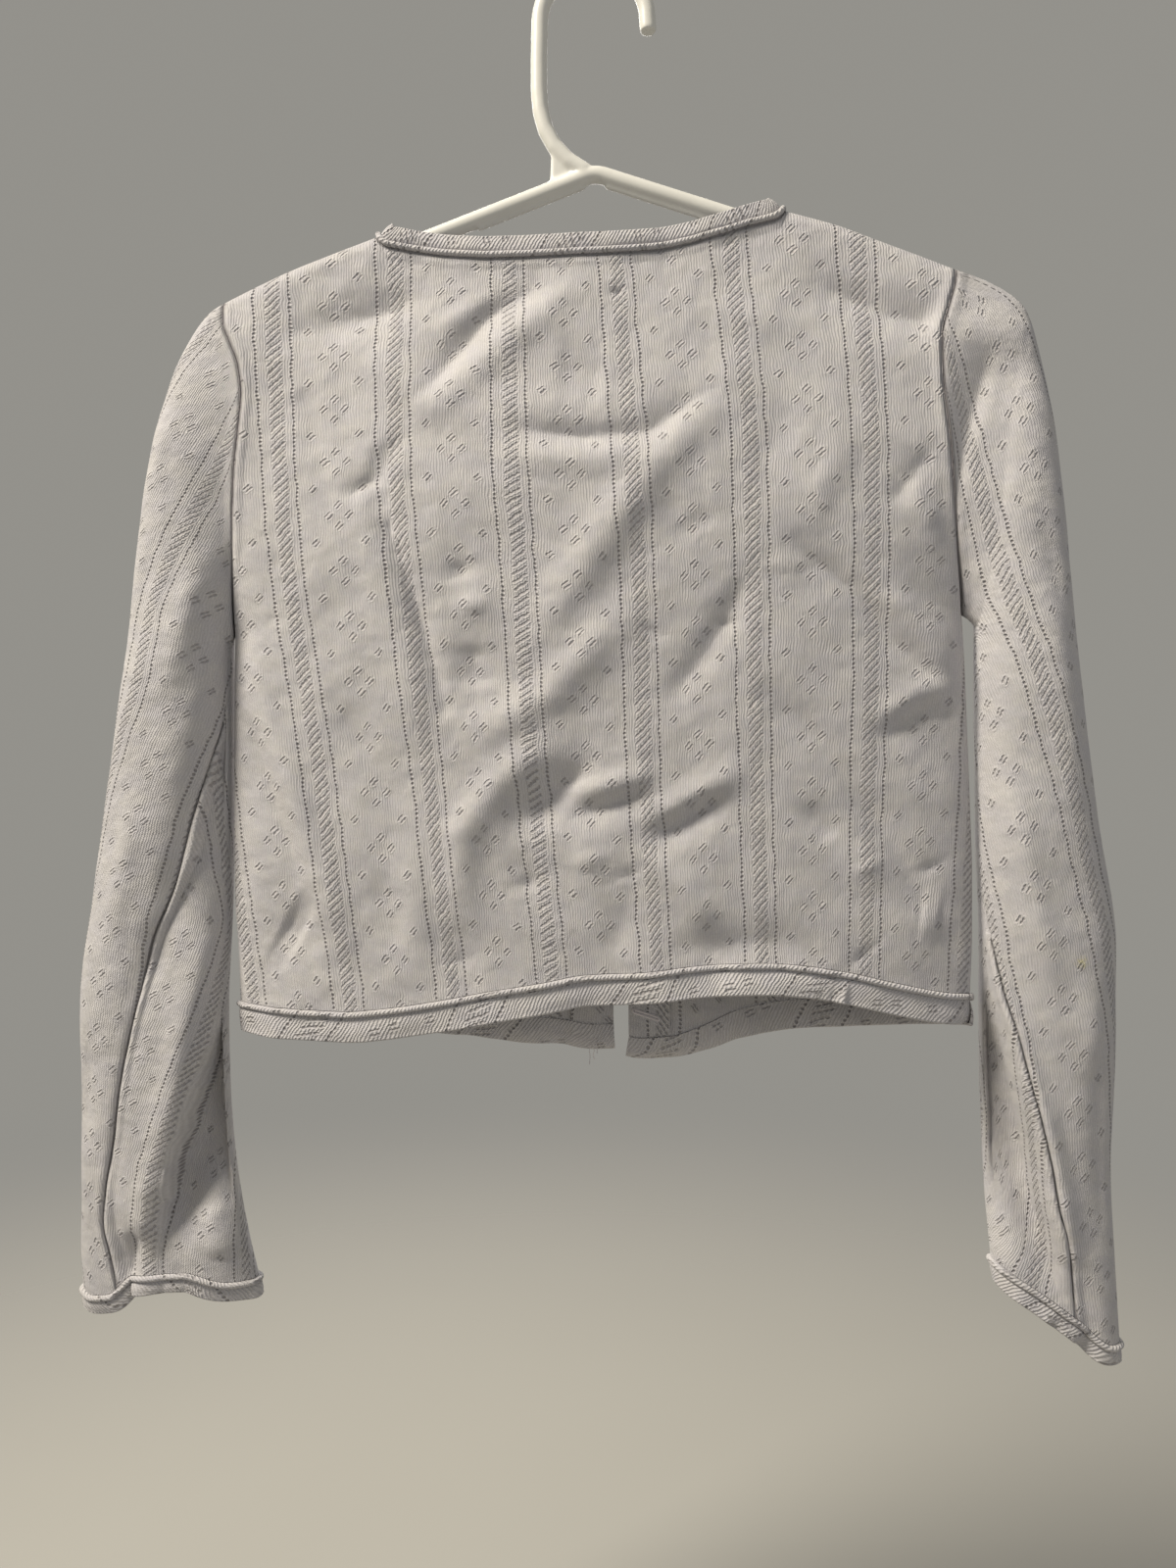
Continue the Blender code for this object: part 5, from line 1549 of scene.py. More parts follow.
def model_button(plastic, thread):
    """A four-hole button with a raised rim and a dished middle, and the thread that crosses it."""
    deselect_all()
    bpy.ops.mesh.primitive_cylinder_add(
        vertices=48, radius=BUTTON_RADIUS * MM, depth=BUTTON_HEIGHT * MM,
        location=(0.0, 0.0, BUTTON_HEIGHT * 0.5 * MM))
    button = bpy.context.object
    apply_place()
    in_edit_mode(button)
    select_flat_top(button, BUTTON_HEIGHT * MM)
    for inset, drop in BUTTON_DISH:
        bpy.ops.mesh.inset(thickness=inset * MM)
        bpy.ops.transform.translate(value=(0.0, 0.0, -drop * MM))
    out_of_edit_mode()
    edge = button.modifiers.new("Edge", "BEVEL")
    edge.width = BUTTON_EDGE * MM
    edge.segments = 3
    edge.limit_method = "ANGLE"
    edge.angle_limit = math.radians(BUTTON_EDGE_ANGLE)
    apply_modifier(button, edge)
    for x, y in ((1, 1), (1, -1), (-1, 1), (-1, -1)):
        drill_hole(button, x * HOLE_OFFSET * MM, y * HOLE_OFFSET * MM)
    button.data.materials.clear()
    button.data.materials.append(plastic)
    strands = [sew_strand(y * HOLE_OFFSET + (k - 1) * THREAD_PITCH, thread)
               for y in (-1.0, 1.0) for k in range(3)]
    pick(button, *strands)
    bpy.ops.object.join()
    return button


class CARDIGAN_OT_buttons(Operator):
    """Sew the buttons down the left front's edge"""

    bl_idname = "cardigan.buttons"
    bl_label = "Buttons"

    def execute(self, context):
        plastic = button_material()
        thread = thread_material()
        model = model_button(plastic, thread)
        x = LEFT_EDGE_X + BUTTON_INSET
        for i, arc in enumerate(closure_places(x)):
            number = str(i + 1)
            button = put_in_scene("sewn_button_" + number, model.data.copy())
            button.data.name = button.name
            turn = Matrix.Rotation(math.radians(BUTTON_TURN * i), 4, "Z")
            button.data.transform(seat_on_front(x, arc, BUTTON_LIFT) @ turn)
            finish_piece(button, plastic, ["button_" + number], angle=35.0)
        bpy.data.objects.remove(model, do_unlink=True)
        return {"FINISHED"}


# Buttonholes and loose threads


def slit_place(walk):
    """Where a walk round a buttonhole's slit has come to, and the direction away from the slit."""
    straight = BUTTONHOLE_LENGTH
    half = straight / 2.0
    turn = math.pi * BUTTONHOLE_WIDTH
    if walk < straight:
        return walk - half, BUTTONHOLE_WIDTH, 0.0, 1.0
    if straight + turn <= walk < 2.0 * straight + turn:
        return half - (walk - straight - turn), -BUTTONHOLE_WIDTH, 0.0, -1.0
    if walk < straight + turn:
        end = half
        angle = math.pi / 2.0 - (walk - straight) / BUTTONHOLE_WIDTH
    else:
        end = -half
        angle = -math.pi / 2.0 - (walk - 2.0 * straight - turn) / BUTTONHOLE_WIDTH
    along, down = math.cos(angle), math.sin(angle)
    return end + along * BUTTONHOLE_WIDTH, down * BUTTONHOLE_WIDTH, along, down


def stitch_ring():
    """The stitches round a slit, laid flat: points along, across and up in mm, and their faces."""
    rings = STITCHES * STITCH_RINGS
    total = 2.0 * (BUTTONHOLE_LENGTH + math.pi * BUTTONHOLE_WIDTH)
    points = []
    faces = []
    for i in range(rings):
        u, v, away_u, away_v = slit_place(total * i / rings)
        thick = STITCH_THICK + STITCH_SWELL * math.cos(2.0 * math.pi * i / STITCH_RINGS)
        following = (i + 1) % rings
        for k in range(STITCH_SIDES):
            angle = 2.0 * math.pi * k / STITCH_SIDES
            wide = STITCH_REACH * math.cos(angle)
            points.append((u + away_u * wide, v + away_v * wide, thick * math.sin(angle)))
            side = (k + 1) % STITCH_SIDES
            faces.append([ring * STITCH_SIDES + corner for ring, corner in (
                (i, k), (i, side), (following, side), (following, k))])
    return np.array(points), faces


def make_buttonhole(name, x, arc, inside, thread):
    """A worked buttonhole: stitches side by side round a slit, bent to the cloth."""
    local, faces = stitch_ring()
    places_x = x + local[:, 0]
    places_arc = arc - local[:, 1]
    out = cloth_normals(-1, places_x, places_arc)
    lift = -(FACING_INSET + FACING_WALL * 0.5 + STITCH_GAP) if inside else STITCH_LIFT
    way = -1.0 if inside else 1.0
    points = cloth(-1, places_x, places_arc) + out * (lift + way * local[:, 2])[:, None]
    mesh = bpy.data.meshes.new(name)
    mesh.from_pydata((points * MM).tolist(), [], faces)
    shape = bmesh.new()
    shape.from_mesh(mesh)
    bmesh.ops.recalc_face_normals(shape, faces=shape.faces[:])
    shape.to_mesh(mesh)
    shape.free()
    finish_piece(put_in_scene(name, mesh), thread, [], angle=60.0)


class CARDIGAN_OT_buttonholes(Operator):
    """Work the buttonholes in the right front, outside and on the facing"""

    bl_idname = "cardigan.buttonholes"
    bl_label = "Buttonholes"

    def execute(self, context):
        thread = thread_material()
        x = RIGHT_EDGE_X - BUTTONHOLE_INSET
        for i, arc in enumerate(closure_places(x)):
            make_buttonhole("buttonhole_" + str(i + 1) + "_outside", x, arc, False, thread)
            make_buttonhole("buttonhole_" + str(i + 1) + "_inside", x, arc, True, thread)
        return {"FINISHED"}


class CARDIGAN_OT_threads(Operator):
    """Leave the loose thread ends at the left front's lower corner"""

    bl_idname = "cardigan.threads"
    bl_label = "Loose threads"

    def execute(self, context):
        path = bpy.data.curves.new("frayed_corner", "CURVE")
        path.dimensions = "3D"
        path.bevel_depth = LOOSE_THREAD_RADIUS * MM
        path.bevel_resolution = 2
        path.resolution_u = 6
        for bends in LOOSE_THREADS:
            line = path.splines.new("NURBS")
            line.points.add(len(bends) - 1)
            line.use_endpoint_u = True
            line.order_u = 3
            for point, place in zip(line.points, bends):
                point.co = (*(value * MM for value in place), 1.0)
        pick(put_in_scene("frayed_corner", path))
        bpy.ops.object.convert(target="MESH")
        finish_piece(context.object, thread_material(), [])
        return {"FINISHED"}


# Hanger


def hanger_loop():
    """Centre line of the arms and the lower bar, round at the three corners."""
    apex_x, apex_z = APEX
    left_angle = math.degrees(math.atan(ARM_SLOPE_LEFT))
    right_angle = math.degrees(math.atan(ARM_SLOPE_RIGHT))
    path = arc_points(
        apex_x, apex_z - APEX_RADIUS, APEX_RADIUS, 90.0 + right_angle, 90.0 - left_angle, APEX_STEPS)
    end_x = HANGER_HALF_WIDTH - HANGER_CORNER
    for way, slope, angle in ((1.0, ARM_SLOPE_LEFT, left_angle), (-1.0, ARM_SLOPE_RIGHT, right_angle)):
        arm_z = apex_z - slope * (end_x - way * apex_x)
        radius = (arm_z - HANGER_BAR_Z) / (1.0 + math.cos(math.radians(angle)))
        corner = arc_points(0.0, 0.0, radius, 90.0 - angle, -90.0, CORNER_STEPS)
        corner = [(way * (end_x + x), HANGER_BAR_Z + radius + z) for x, z in corner]
        path += corner if way > 0.0 else corner[::-1]
    return path + path[:1]


def hook_line():
    """Centre line of the hook: its open end, over the top, down the stem and into the arm."""
    tube = bpy.context.scene.cardigan_hanger.tube
    centre_z = tube - HOOK_RADIUS
    path = [(-HOOK_RADIUS * HOOK_SPREAD, centre_z - HOOK_TIP)]
    path += arc_points(0.0, centre_z, HOOK_RADIUS, 180.0, 0.0, HOOK_STEPS)
    return path + list(STEM)


def draw_tube(name, path, radius):
    """Extrude a round section along a path in the hanger's plane, turning it at each bend."""
    headings = [math.atan2(b[1] - a[1], b[0] - a[0]) for a, b in zip(path[:-1], path[1:])]
    deselect_all()
    bpy.ops.mesh.primitive_circle_add(
        vertices=TUBE_SIDES, radius=radius * MM, fill_type="NGON",
        location=(path[0][0] * MM, 0.0, path[0][1] * MM),
        rotation=(0.0, math.pi / 2.0 - headings[0], 0.0))
    tube = bpy.context.object
    tube.name = name
    apply_place()
    in_edit_mode(tube)
    for i in range(1, len(path)):
        (x1, z1), (x2, z2) = path[i - 1], path[i]
        bpy.ops.mesh.extrude_region_move(
            TRANSFORM_OT_translate={"value": ((x2 - x1) * MM, 0.0, (z2 - z1) * MM)})
        if i < len(headings):
            bend = (headings[i] - headings[i - 1] + math.pi) % (2.0 * math.pi) - math.pi
            bpy.ops.transform.rotate(
                value=bend, orient_axis="Y", orient_type="GLOBAL",
                center_override=(x2 * MM, 0.0, z2 * MM))
    close_solid()
    return tube


def draw_web(name, corners, half):
    """A thin moulded web, extruded from its outline."""
    deselect_all()
    bpy.ops.mesh.primitive_plane_add(size=1.0)
    web = bpy.context.object
    web.name = name
    for vertex, (x, z) in zip(web.data.vertices, (corners[0], corners[1], corners[3], corners[2])):
        vertex.co = (x * MM, -half * MM, z * MM)
    in_edit_mode(web)
    bpy.ops.mesh.extrude_region_move(TRANSFORM_OT_translate={"value": (0.0, 2.0 * half * MM, 0.0)})
    close_solid()
    return web


class CARDIGAN_OT_hanger(Operator):
    """Mould the hanger: the loop of arms and bar, the hook, the web and the ridges beside it"""

    bl_idname = "cardigan.hanger"
    bl_label = "Hanger"

    def execute(self, context):
        radius = context.scene.cardigan_hanger.tube
        parts = [draw_tube("hanger_tube", hanger_loop(), radius), draw_tube("hook", hook_line(), radius)]
        parts.append(draw_web("web", WEB, WEB_HALF))
        for ridge in ARM_RIDGES:
            parts.append(draw_web("ridge", ridge, RIDGE_HALF))
        pick(*parts)
        bpy.ops.object.join()
        hanger = context.object
        fuse = hanger.modifiers.new("Fuse", "REMESH")
        fuse.mode = "VOXEL"
        fuse.voxel_size = HANGER_VOXEL * MM
        apply_modifier(hanger, fuse)
        soften = hanger.modifiers.new("Soften", "SMOOTH")
        soften.factor, soften.iterations = HANGER_SOFTENING
        apply_modifier(hanger, soften)
        finish_piece(hanger, hanger_material(), ["hanger"], angle=80.0)
        return {"FINISHED"}


# Materials


class Recipe:
    """A material's nodes, added step by step. Each step gives the socket that the next one reads."""

    def __init__(self, name):
        self.material = bpy.data.materials.new(name)
        self.material.use_nodes = True
        self.tree = self.material.node_tree
        self.shader = self.tree.nodes["Principled BSDF"]
        self.count = 0

    def add(self, kind):
        """A new node, placed in rows of eight."""
        node = self.tree.nodes.new(kind)
        node.location = (-220.0 * (8 - self.count % 8), -180.0 * (self.count // 8))
        self.count += 1
        return node

    def feed(self, socket, value):
        """Link a socket's input, or set its value."""
        if isinstance(value, bpy.types.NodeSocket):
            self.tree.links.new(value, socket)
        else:
            socket.default_value = value

    def step(self, operation, *values, clamp=False):
        """One sum of the pattern."""
        node = self.add("ShaderNodeMath")
        node.operation = operation
        node.use_clamp = clamp
        for socket, value in zip(node.inputs, values):
            self.feed(socket, value)
        return node.outputs[0]

    def least(self, *values):
        found = values[0]
        for value in values[1:]:
            found = self.step("MINIMUM", found, value)
        return found

    def total(self, *values):
        found = values[0]
        for value in values[1:]:
            found = self.step("ADD", found, value)
        return found

    def times(self, first, second):
        return self.step("MULTIPLY", first, second)

    def less(self, first, second):
        return self.step("SUBTRACT", first, second)

    def fold(self, value, period):
        """Distance from the nearest multiple of a period, with its sign."""
        return self.step("WRAP", value, period / 2.0, -period / 2.0)

    def squares(self, across, along):
        """Square of the distance from a middle."""
        return self.total(self.times(across, across), self.times(along, along))

    def ramp(self, value, low, high, at_low=0.0, at_high=1.0):
        """A smooth step from one value at low to another at high."""
        node = self.add("ShaderNodeMapRange")
        node.interpolation_type = "SMOOTHSTEP"
        for name, number in zip(("Value", "From Min", "From Max", "To Min", "To Max"),
                                (value, low, high, at_low, at_high)):
            self.feed(node.inputs[name], number)
        return node.outputs["Result"]

    def noise(self, place, scale, detail=2.0, roughness=0.5):
        """Soft random unevenness, mostly between 0.3 and 0.7."""
        node = self.add("ShaderNodeTexNoise")
        for name, value in zip(("Vector", "Scale", "Detail", "Roughness"),
                               (place, scale, detail, roughness)):
            self.feed(node.inputs[name], value)
        return node.outputs["Fac"]

    def blend(self, share, first, second):
        """Mix two colours. The node's colours are its inputs 6 and 7 and its output 2."""
        node = self.add("ShaderNodeMix")
        node.data_type = "RGBA"
        self.feed(node.inputs[0], share)
        for socket, colour in ((node.inputs[6], first), (node.inputs[7], second)):
            self.feed(socket, colour if isinstance(colour, bpy.types.NodeSocket) else (*colour, 1.0))
        return node.outputs[2]

    def bump(self, height, depth):
        """Raise the surface by a height, in shares of a depth in metres."""
        node = self.add("ShaderNodeBump")
        self.feed(node.inputs["Strength"], 1.0)
        self.feed(node.inputs["Distance"], depth)
        self.feed(node.inputs["Height"], height)
        self.feed(self.shader.inputs["Normal"], node.outputs["Normal"])

    def place(self, kind):
        """Coordinates on the piece: its UV map, or its Object coordinates."""
        return self.add("ShaderNodeTexCoord").outputs[kind]

    def seam_distance(self):
        """Distance in mm from the nearest sewn edge, from the piece's second UV map."""
        node = self.add("ShaderNodeUVMap")
        node.uv_map = "Seams"
        split = self.add("ShaderNodeSeparateXYZ")
        self.feed(split.inputs[0], node.outputs[0])
        return split.outputs[0]

    def surface(self, **values):
        """Set the shader's sockets by their names, with underscores for spaces."""
        for name, value in values.items():
            self.feed(self.shader.inputs[name.replace("_", " ")], value)


def tinted(colour, *scales):
    """A colour scaled by one number, or by one for each of its channels."""
    scales = scales * 3 if len(scales) == 1 else scales
    return tuple(min(value * scale, 1.0) for value, scale in zip(colour, scales))


def eyelet_distance(recipe, across, down, lean=None):
    """Distance from an eyelet's middle, measured so that the eyelet is a slanted ellipse."""
    squares = recipe.squares(across, down)
    product = recipe.times(across, down)
    if lean is not None:
        product = recipe.times(product, recipe.step("SIGN", lean))
    squares = recipe.times(squares, EYELET_ROUND)
    squares = recipe.total(squares, recipe.times(product, EYELET_SLANT))
    return recipe.step("SQRT", recipe.step("MAXIMUM", squares, 0.0))


def cluster_distance(recipe, across, down, reach, centre):
    """Distance from the nearest of the four eyelets that sit close round each cluster's middle."""
    far = recipe.less(reach[0], centre)
    leg = recipe.step("ABSOLUTE", far)
    high = recipe.less(recipe.step("MAXIMUM", leg, reach[1]), CLUSTER_HALF)
    lean = recipe.times(recipe.times(across, down), far)
    return eyelet_distance(recipe, high, recipe.least(leg, reach[1]), lean)


def knit_chart(recipe, knit):
    """The parts of the pointelle pattern, each a socket, from the piece's UV map."""
    split = recipe.add("ShaderNodeSeparateXYZ")
    recipe.feed(split.inputs[0], recipe.place("UV"))
    flat = recipe.add("ShaderNodeCombineXYZ")
    recipe.feed(flat.inputs[0], recipe.times(split.outputs[0], REPEAT))
    recipe.feed(flat.inputs[1], recipe.times(split.outputs[1], DIAMOND_PITCH))
    place = flat.outputs[0]
    pull, waver = (
        recipe.times(recipe.less(recipe.noise(place, scale), 0.5), width)
        for scale, width in (PULL, WAVER))
    across = recipe.total(recipe.times(split.outputs[0], REPEAT), pull, waver)
    down = recipe.total(recipe.times(split.outputs[1], DIAMOND_PITCH), waver)
    from_ladder = recipe.fold(across, REPEAT)
    beside_ladder = recipe.step("ABSOLUTE", from_ladder)
    pinholes = recipe.step("SQRT", recipe.squares(
        recipe.less(beside_ladder, LADDER_HALF), recipe.fold(down, LADDER_PITCH)))
    eyelets = []
    middle_column = (LACE_COLUMNS - 1) / 2.0
    for i in range(LACE_COLUMNS):
        column = (i - middle_column) * LACE_COLUMN + LACE_ASIDE
        along = recipe.total(down, LACE_PITCH * LACE_STAGGER * i)
        eyelet = eyelet_distance(recipe, recipe.less(from_ladder, column), recipe.fold(along, LACE_PITCH))
        eyelets.append(recipe.less(eyelet, LACE_LARGER))
    from_diamond = recipe.fold(recipe.total(across, REPEAT / 2.0), REPEAT)
    beside = recipe.step("ABSOLUTE", from_diamond)
    from_row = recipe.fold(down, DIAMOND_PITCH)
    row = recipe.step("ABSOLUTE", from_row)
    corner = (recipe.step("MAXIMUM", beside, row), recipe.least(beside, row))
    eyelets.append(cluster_distance(recipe, from_diamond, from_row, corner, DIAMOND_HALF))
    from_gap = recipe.fold(recipe.total(down, DIAMOND_PITCH / 2.0), DIAMOND_PITCH)
    corner = (beside, recipe.step("ABSOLUTE", from_gap))
    eyelets.append(cluster_distance(recipe, from_diamond, from_gap, corner, CROSS_OFFSET))
    uneven = recipe.times(waver, EYELET_UNEVENNESS)
    pinholes = recipe.total(pinholes, uneven)
    openwork = recipe.total(recipe.least(*eyelets), uneven)
    nearest = recipe.least(pinholes, openwork)
    edge = [knit.eyelet * share for share in HOLE_EDGE]
    rim = [knit.eyelet * share for share in RIM_EDGES]
    slant = recipe.total(recipe.times(from_ladder, LACE_PITCH * LACE_STAGGER / LACE_COLUMN), down)
    turns = recipe.total(recipe.step("DIVIDE", slant, LACE_PITCH), middle_column * LACE_STAGGER + 0.5)
    strokes = recipe.step("COSINE", recipe.times(turns, 2.0 * math.pi))
    in_lace = recipe.ramp(
        recipe.step("ABSOLUTE", recipe.less(from_ladder, LACE_ASIDE)),
        *(LACE_COLUMN * share for share in LACE_EDGE), 1.0, 0.0)
    # hole, rim, lace, strokes and gutter set the bump, and also where knit_material puts painted shade and
    # painted highlight
    return {
        "place": place,
        "hole": recipe.step("MAXIMUM", recipe.ramp(pinholes, *edge, 1.0, 0.0),
                            recipe.ramp(openwork, *edge, OPENWORK_SHADE, 0.0)),
        "rim": recipe.times(recipe.ramp(nearest, *rim[:2]), recipe.ramp(nearest, *rim[1:], 1.0, 0.0)),
        "rib": recipe.step("COSINE", recipe.times(across, 2.0 * math.pi * knit.ribs / REPEAT)),
        "stitch": recipe.step("COSINE", recipe.times(slant, 2.0 * math.pi / STITCH_PITCH)),
        "strokes": recipe.times(strokes, in_lace),
        "lace": in_lace,
        "gutter": recipe.ramp(
            recipe.step("ABSOLUTE", recipe.less(beside_ladder, LADDER_HALF)), *GUTTER_EDGE, 1.0, 0.0),
    }


def stained(recipe, place, yarn):
    """The yarn with the faded mark soaked into it."""
    centre, size, colour = STAIN
    reach = recipe.add("ShaderNodeVectorMath")
    reach.operation = "DISTANCE"
    recipe.feed(reach.inputs[0], recipe.place("Object"))
    recipe.feed(reach.inputs[1], tuple(value * MM for value in centre))
    ragged = recipe.times(recipe.noise(place, 0.5, 3.0, 0.7), size * MM * STAIN_RAGGED)
    edge = recipe.total(reach.outputs["Value"], ragged)
    soaked = recipe.ramp(edge, *(size * MM * share for share in STAIN_EDGE), STAIN_STRENGTH, 0.0)
    return recipe.blend(soaked, yarn, colour)


def knit_material(name, stain=False, ribbing=1.0):
    """Pale lilac marled yarn in the pointelle stitch, with painted shade and painted highlight. ribbing
    makes the ribs stand out more, in relief and in painted shade.
    """
    knit = bpy.context.scene.cardigan_knit
    recipe = Recipe(name)
    chart = knit_chart(recipe, knit)
    place = chart["place"]
    from_seam = recipe.seam_distance()
    chart["sewn"] = recipe.ramp(from_seam, *SEWN_EDGE, 1.0, 0.0)
    chart["rolled"] = recipe.times(
        recipe.ramp(from_seam, *ROLL_START), recipe.ramp(from_seam, *ROLL_END, 1.0, 0.0))
    chart["marl"] = recipe.noise(place, 1.1, 3.0, 0.7)
    cloud = recipe.noise(place, 0.07, 4.0, 0.65)
    pale = recipe.blend(recipe.ramp(chart["marl"], 0.3, 0.72), tinted(knit.colour, YARN_DARK),
                        tinted(knit.colour, YARN_LIGHT))
    cast = recipe.blend(recipe.ramp(cloud, 0.35, 0.65), tinted(knit.colour, *YARN_COOL),
                        tinted(knit.colour, *YARN_WARM))
    yarn = recipe.blend(0.45, pale, cast)
    if stain:
        yarn = stained(recipe, place, yarn)
    # Painted shade: the yarn is blended towards the painted shade colour in the rib grooves, the gutters,
    # the holes and along sewn seams, and lightened as painted highlight on the eyelet rims, the lace and its
    # strokes
    shaded = recipe.times(recipe.less(1.0, chart["rib"]), RIB_SHADE * ribbing ** 0.5)
    for part, shade in SHADES.items():
        shaded = recipe.total(shaded, recipe.times(chart[part], shade))
    holes = recipe.times(chart["hole"], HOLE_SHADE)
    # depth here is the share of painted shade, not a depth in the cloth
    depth = recipe.least(1.0, recipe.step("MAXIMUM", shaded, holes))
    depth = recipe.step("MAXIMUM", depth, recipe.times(chart["sewn"], SEWN_SHADE), clamp=True)
    recipe.surface(Base_Color=recipe.blend(depth, yarn, knit.shade), Roughness=0.92,
                   Sheen_Weight=0.12, Sheen_Roughness=0.55, Specular_IOR_Level=0.15)
    chart["rib"] = recipe.times(chart["rib"], ribbing)
    raised = [recipe.times(chart[part], height) for part, height in HEIGHTS.items()]
    puckers = recipe.times(recipe.noise(place, 0.13, 2.0), 1.6)
    recipe.bump(recipe.total(*raised, puckers), KNIT_BUMP * MM)
    return recipe.material


def button_material():
    """Pale plastic with a soft gloss and faint clouds."""
    colour = bpy.context.scene.cardigan_trim.button_colour
    recipe = Recipe("button_plastic_pale")
    place = recipe.place("Object")
    cloud = recipe.noise(place, 260.0, 3.0, 0.6)
    recipe.surface(
        Base_Color=recipe.blend(recipe.ramp(cloud, 0.35, 0.7), colour, tinted(colour, BUTTON_CLOUD)),
        Roughness=recipe.ramp(recipe.noise(place, 900.0), 0.3, 0.7, 0.24, 0.36),
        Coat_Weight=0.3, Coat_Roughness=0.12, Specular_IOR_Level=0.5)
    return recipe.material


def thread_material():
    """Twisted sewing thread."""
    found = bpy.data.materials.get("sewing_thread")
    if found:
        return found
    colour = bpy.context.scene.cardigan_trim.thread_colour
    recipe = Recipe("sewing_thread")
    place = recipe.place("Object")
    twist = recipe.noise(place, 2600.0, 2.0, 0.6)
    recipe.surface(
        Base_Color=recipe.blend(recipe.ramp(twist, 0.3, 0.7), tinted(colour, THREAD_DARK), colour),
        Roughness=0.75, Sheen_Weight=0.2, Sheen_Roughness=0.4)
    recipe.bump(twist, 0.12 * MM)
    return recipe.material


def hanger_material():
    """Warm white moulded plastic, a little scuffed."""
    colour = bpy.context.scene.cardigan_hanger.colour
    recipe = Recipe("hanger_plastic_white")
    place = recipe.place("Object")
    scuff = recipe.noise(place, 140.0, 5.0, 0.7)
    cloud = recipe.noise(place, 22.0, 2.0)
    recipe.surface(
        Base_Color=recipe.blend(recipe.ramp(cloud, 0.3, 0.7), colour, tinted(colour, HANGER_CLOUD)),
        Roughness=recipe.ramp(scuff, 0.35, 0.75, 0.27, 0.42), Specular_IOR_Level=0.5)
    recipe.bump(scuff, 0.05 * MM)
    return recipe.material


def floor_material(stage):
    """Plain pale floor that fades out into the background."""
    recipe = Recipe("pale_floor")
    place = recipe.place("Object")
    pale = tinted(stage.backdrop, FLOOR_PALE)
    tone = recipe.ramp(recipe.noise(place, 3.0, 2.0), 0.3, 0.7)
    reach = recipe.add("ShaderNodeVectorMath")
    reach.operation = "DISTANCE"
    recipe.feed(reach.inputs[0], place)
    recipe.feed(reach.inputs[1], (0.0, 0.0, stage.floor_height))
    recipe.surface(
        Base_Color=recipe.blend(tone, pale, tinted(pale, FLOOR_PATCH)),
        Roughness=0.9, Specular_IOR_Level=0.1,
        Alpha=recipe.ramp(reach.outputs["Value"], FLOOR_SOLID, FLOOR_RADIUS * FLOOR_FADED, 1.0, 0.0))
    return recipe.material


# Stage


def add_area_light(name, power, place, size, colour):
    """A round soft light, turned to the middle of the cardigan."""
    data = bpy.data.lights.new(name, "AREA")
    data.shape = "DISK"
    data.size = size
    data.energy = power
    data.color = colour
    light = put_in_scene(name, data)
    light.location = place
    light.rotation_euler = (Vector(LIT_PLACE) - Vector(place)).to_track_quat("-Z", "Y").to_euler()


class CARDIGAN_OT_stage(Operator):
    """Lay the floor, hang the lights and set up the camera"""

    bl_idname = "cardigan.stage"
    bl_label = "Stage"

    def execute(self, context):
        stage = context.scene.cardigan_stage
        deselect_all()
        bpy.ops.mesh.primitive_circle_add(vertices=96, radius=FLOOR_RADIUS, fill_type="NGON")
        floor = context.object
        floor.name = "floor"
        floor.data.transform(Matrix.Translation((0.0, 0.0, stage.floor_height)))
        floor.location = (0.0, 0.0, 0.0)
        floor.data.materials.append(floor_material(stage))
        world = bpy.data.worlds.new("Pale room")
        world.use_nodes = True
        world.node_tree.nodes["Background"].inputs[0].default_value = (*stage.backdrop, 1.0)
        world.node_tree.nodes["Background"].inputs[1].default_value = stage.ambient
        context.scene.world = world
        for name, setting, share, place, size, colour in LIGHTS:
            add_area_light(name, getattr(stage, setting) * share, place, size, colour)
        lens = bpy.data.cameras.new("Camera")
        lens.lens = CAMERA_LENS
        lens.sensor_width = CAMERA_SENSOR
        camera = put_in_scene("Camera", lens)
        camera.location = CAMERA_PLACE
        ahead = Vector((math.sin(CAMERA_HEADING), -math.cos(CAMERA_HEADING), 0.0))
        camera.rotation_euler = ahead.to_track_quat("-Z", "Y").to_euler()
        context.scene.camera = camera
        context.scene.view_settings.view_transform = "Standard"
        return {"FINISHED"}


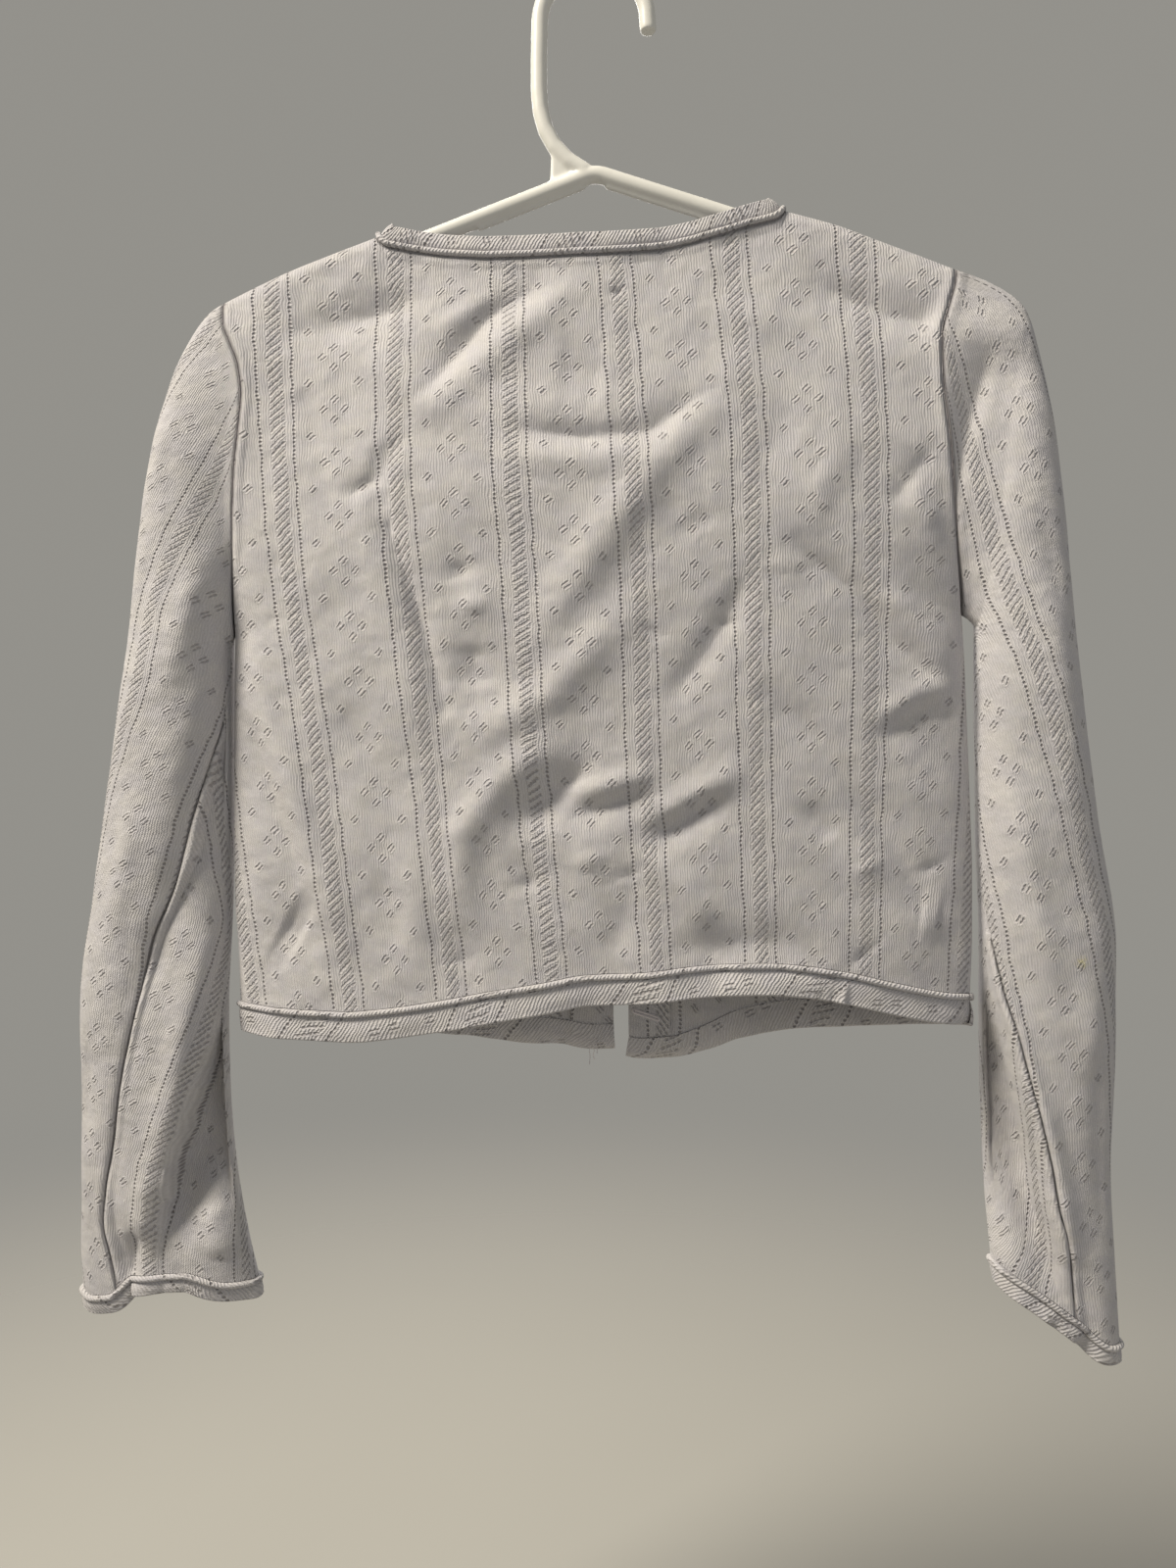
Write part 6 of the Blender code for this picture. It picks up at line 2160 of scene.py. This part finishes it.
# Sidebar


OPERATORS = (
    CARDIGAN_OT_panels, CARDIGAN_OT_sleeves, CARDIGAN_OT_bindings, CARDIGAN_OT_facings,
    CARDIGAN_OT_buttons, CARDIGAN_OT_buttonholes, CARDIGAN_OT_threads, CARDIGAN_OT_hanger,
    CARDIGAN_OT_stage,
)


class CARDIGAN_PT_pieces(Panel):
    """Lists the pieces of the cardigan in the order they are made"""

    bl_idname = "CARDIGAN_PT_pieces"
    bl_label = "Cardigan"
    bl_space_type = "VIEW_3D"
    bl_region_type = "UI"
    bl_category = "Cardigan"

    def draw(self, context):
        for operator in OPERATORS:
            self.layout.operator(operator.bl_idname)
        for settings in SETTING_NAMES:
            group = getattr(context.scene, settings)
            box = self.layout.box()
            for name in group.bl_rna.properties.keys():
                if name not in ("rna_type", "name"):
                    box.prop(group, name)


SETTINGS = (KnitSettings, TrimSettings, HangerSettings, StageSettings)
SETTING_NAMES = ("cardigan_knit", "cardigan_trim", "cardigan_hanger", "cardigan_stage")


def register():
    for item in SETTINGS + OPERATORS + (CARDIGAN_PT_pieces,):
        bpy.utils.register_class(item)
    bpy.types.Scene.cardigan_knit = PointerProperty(type=KnitSettings)
    bpy.types.Scene.cardigan_trim = PointerProperty(type=TrimSettings)
    bpy.types.Scene.cardigan_hanger = PointerProperty(type=HangerSettings)
    bpy.types.Scene.cardigan_stage = PointerProperty(type=StageSettings)


def unregister():
    for name in SETTING_NAMES:
        delattr(bpy.types.Scene, name)
    for item in reversed(SETTINGS + OPERATORS + (CARDIGAN_PT_pieces,)):
        bpy.utils.unregister_class(item)


def main():
    """Make every piece in order, then the stage."""
    register()
    bpy.ops.cardigan.panels()
    bpy.ops.cardigan.sleeves()
    bpy.ops.cardigan.bindings()
    bpy.ops.cardigan.facings()
    bpy.ops.cardigan.buttons()
    bpy.ops.cardigan.buttonholes()
    bpy.ops.cardigan.threads()
    bpy.ops.cardigan.hanger()
    bpy.ops.cardigan.stage()


if __name__ == "__main__":
    main()
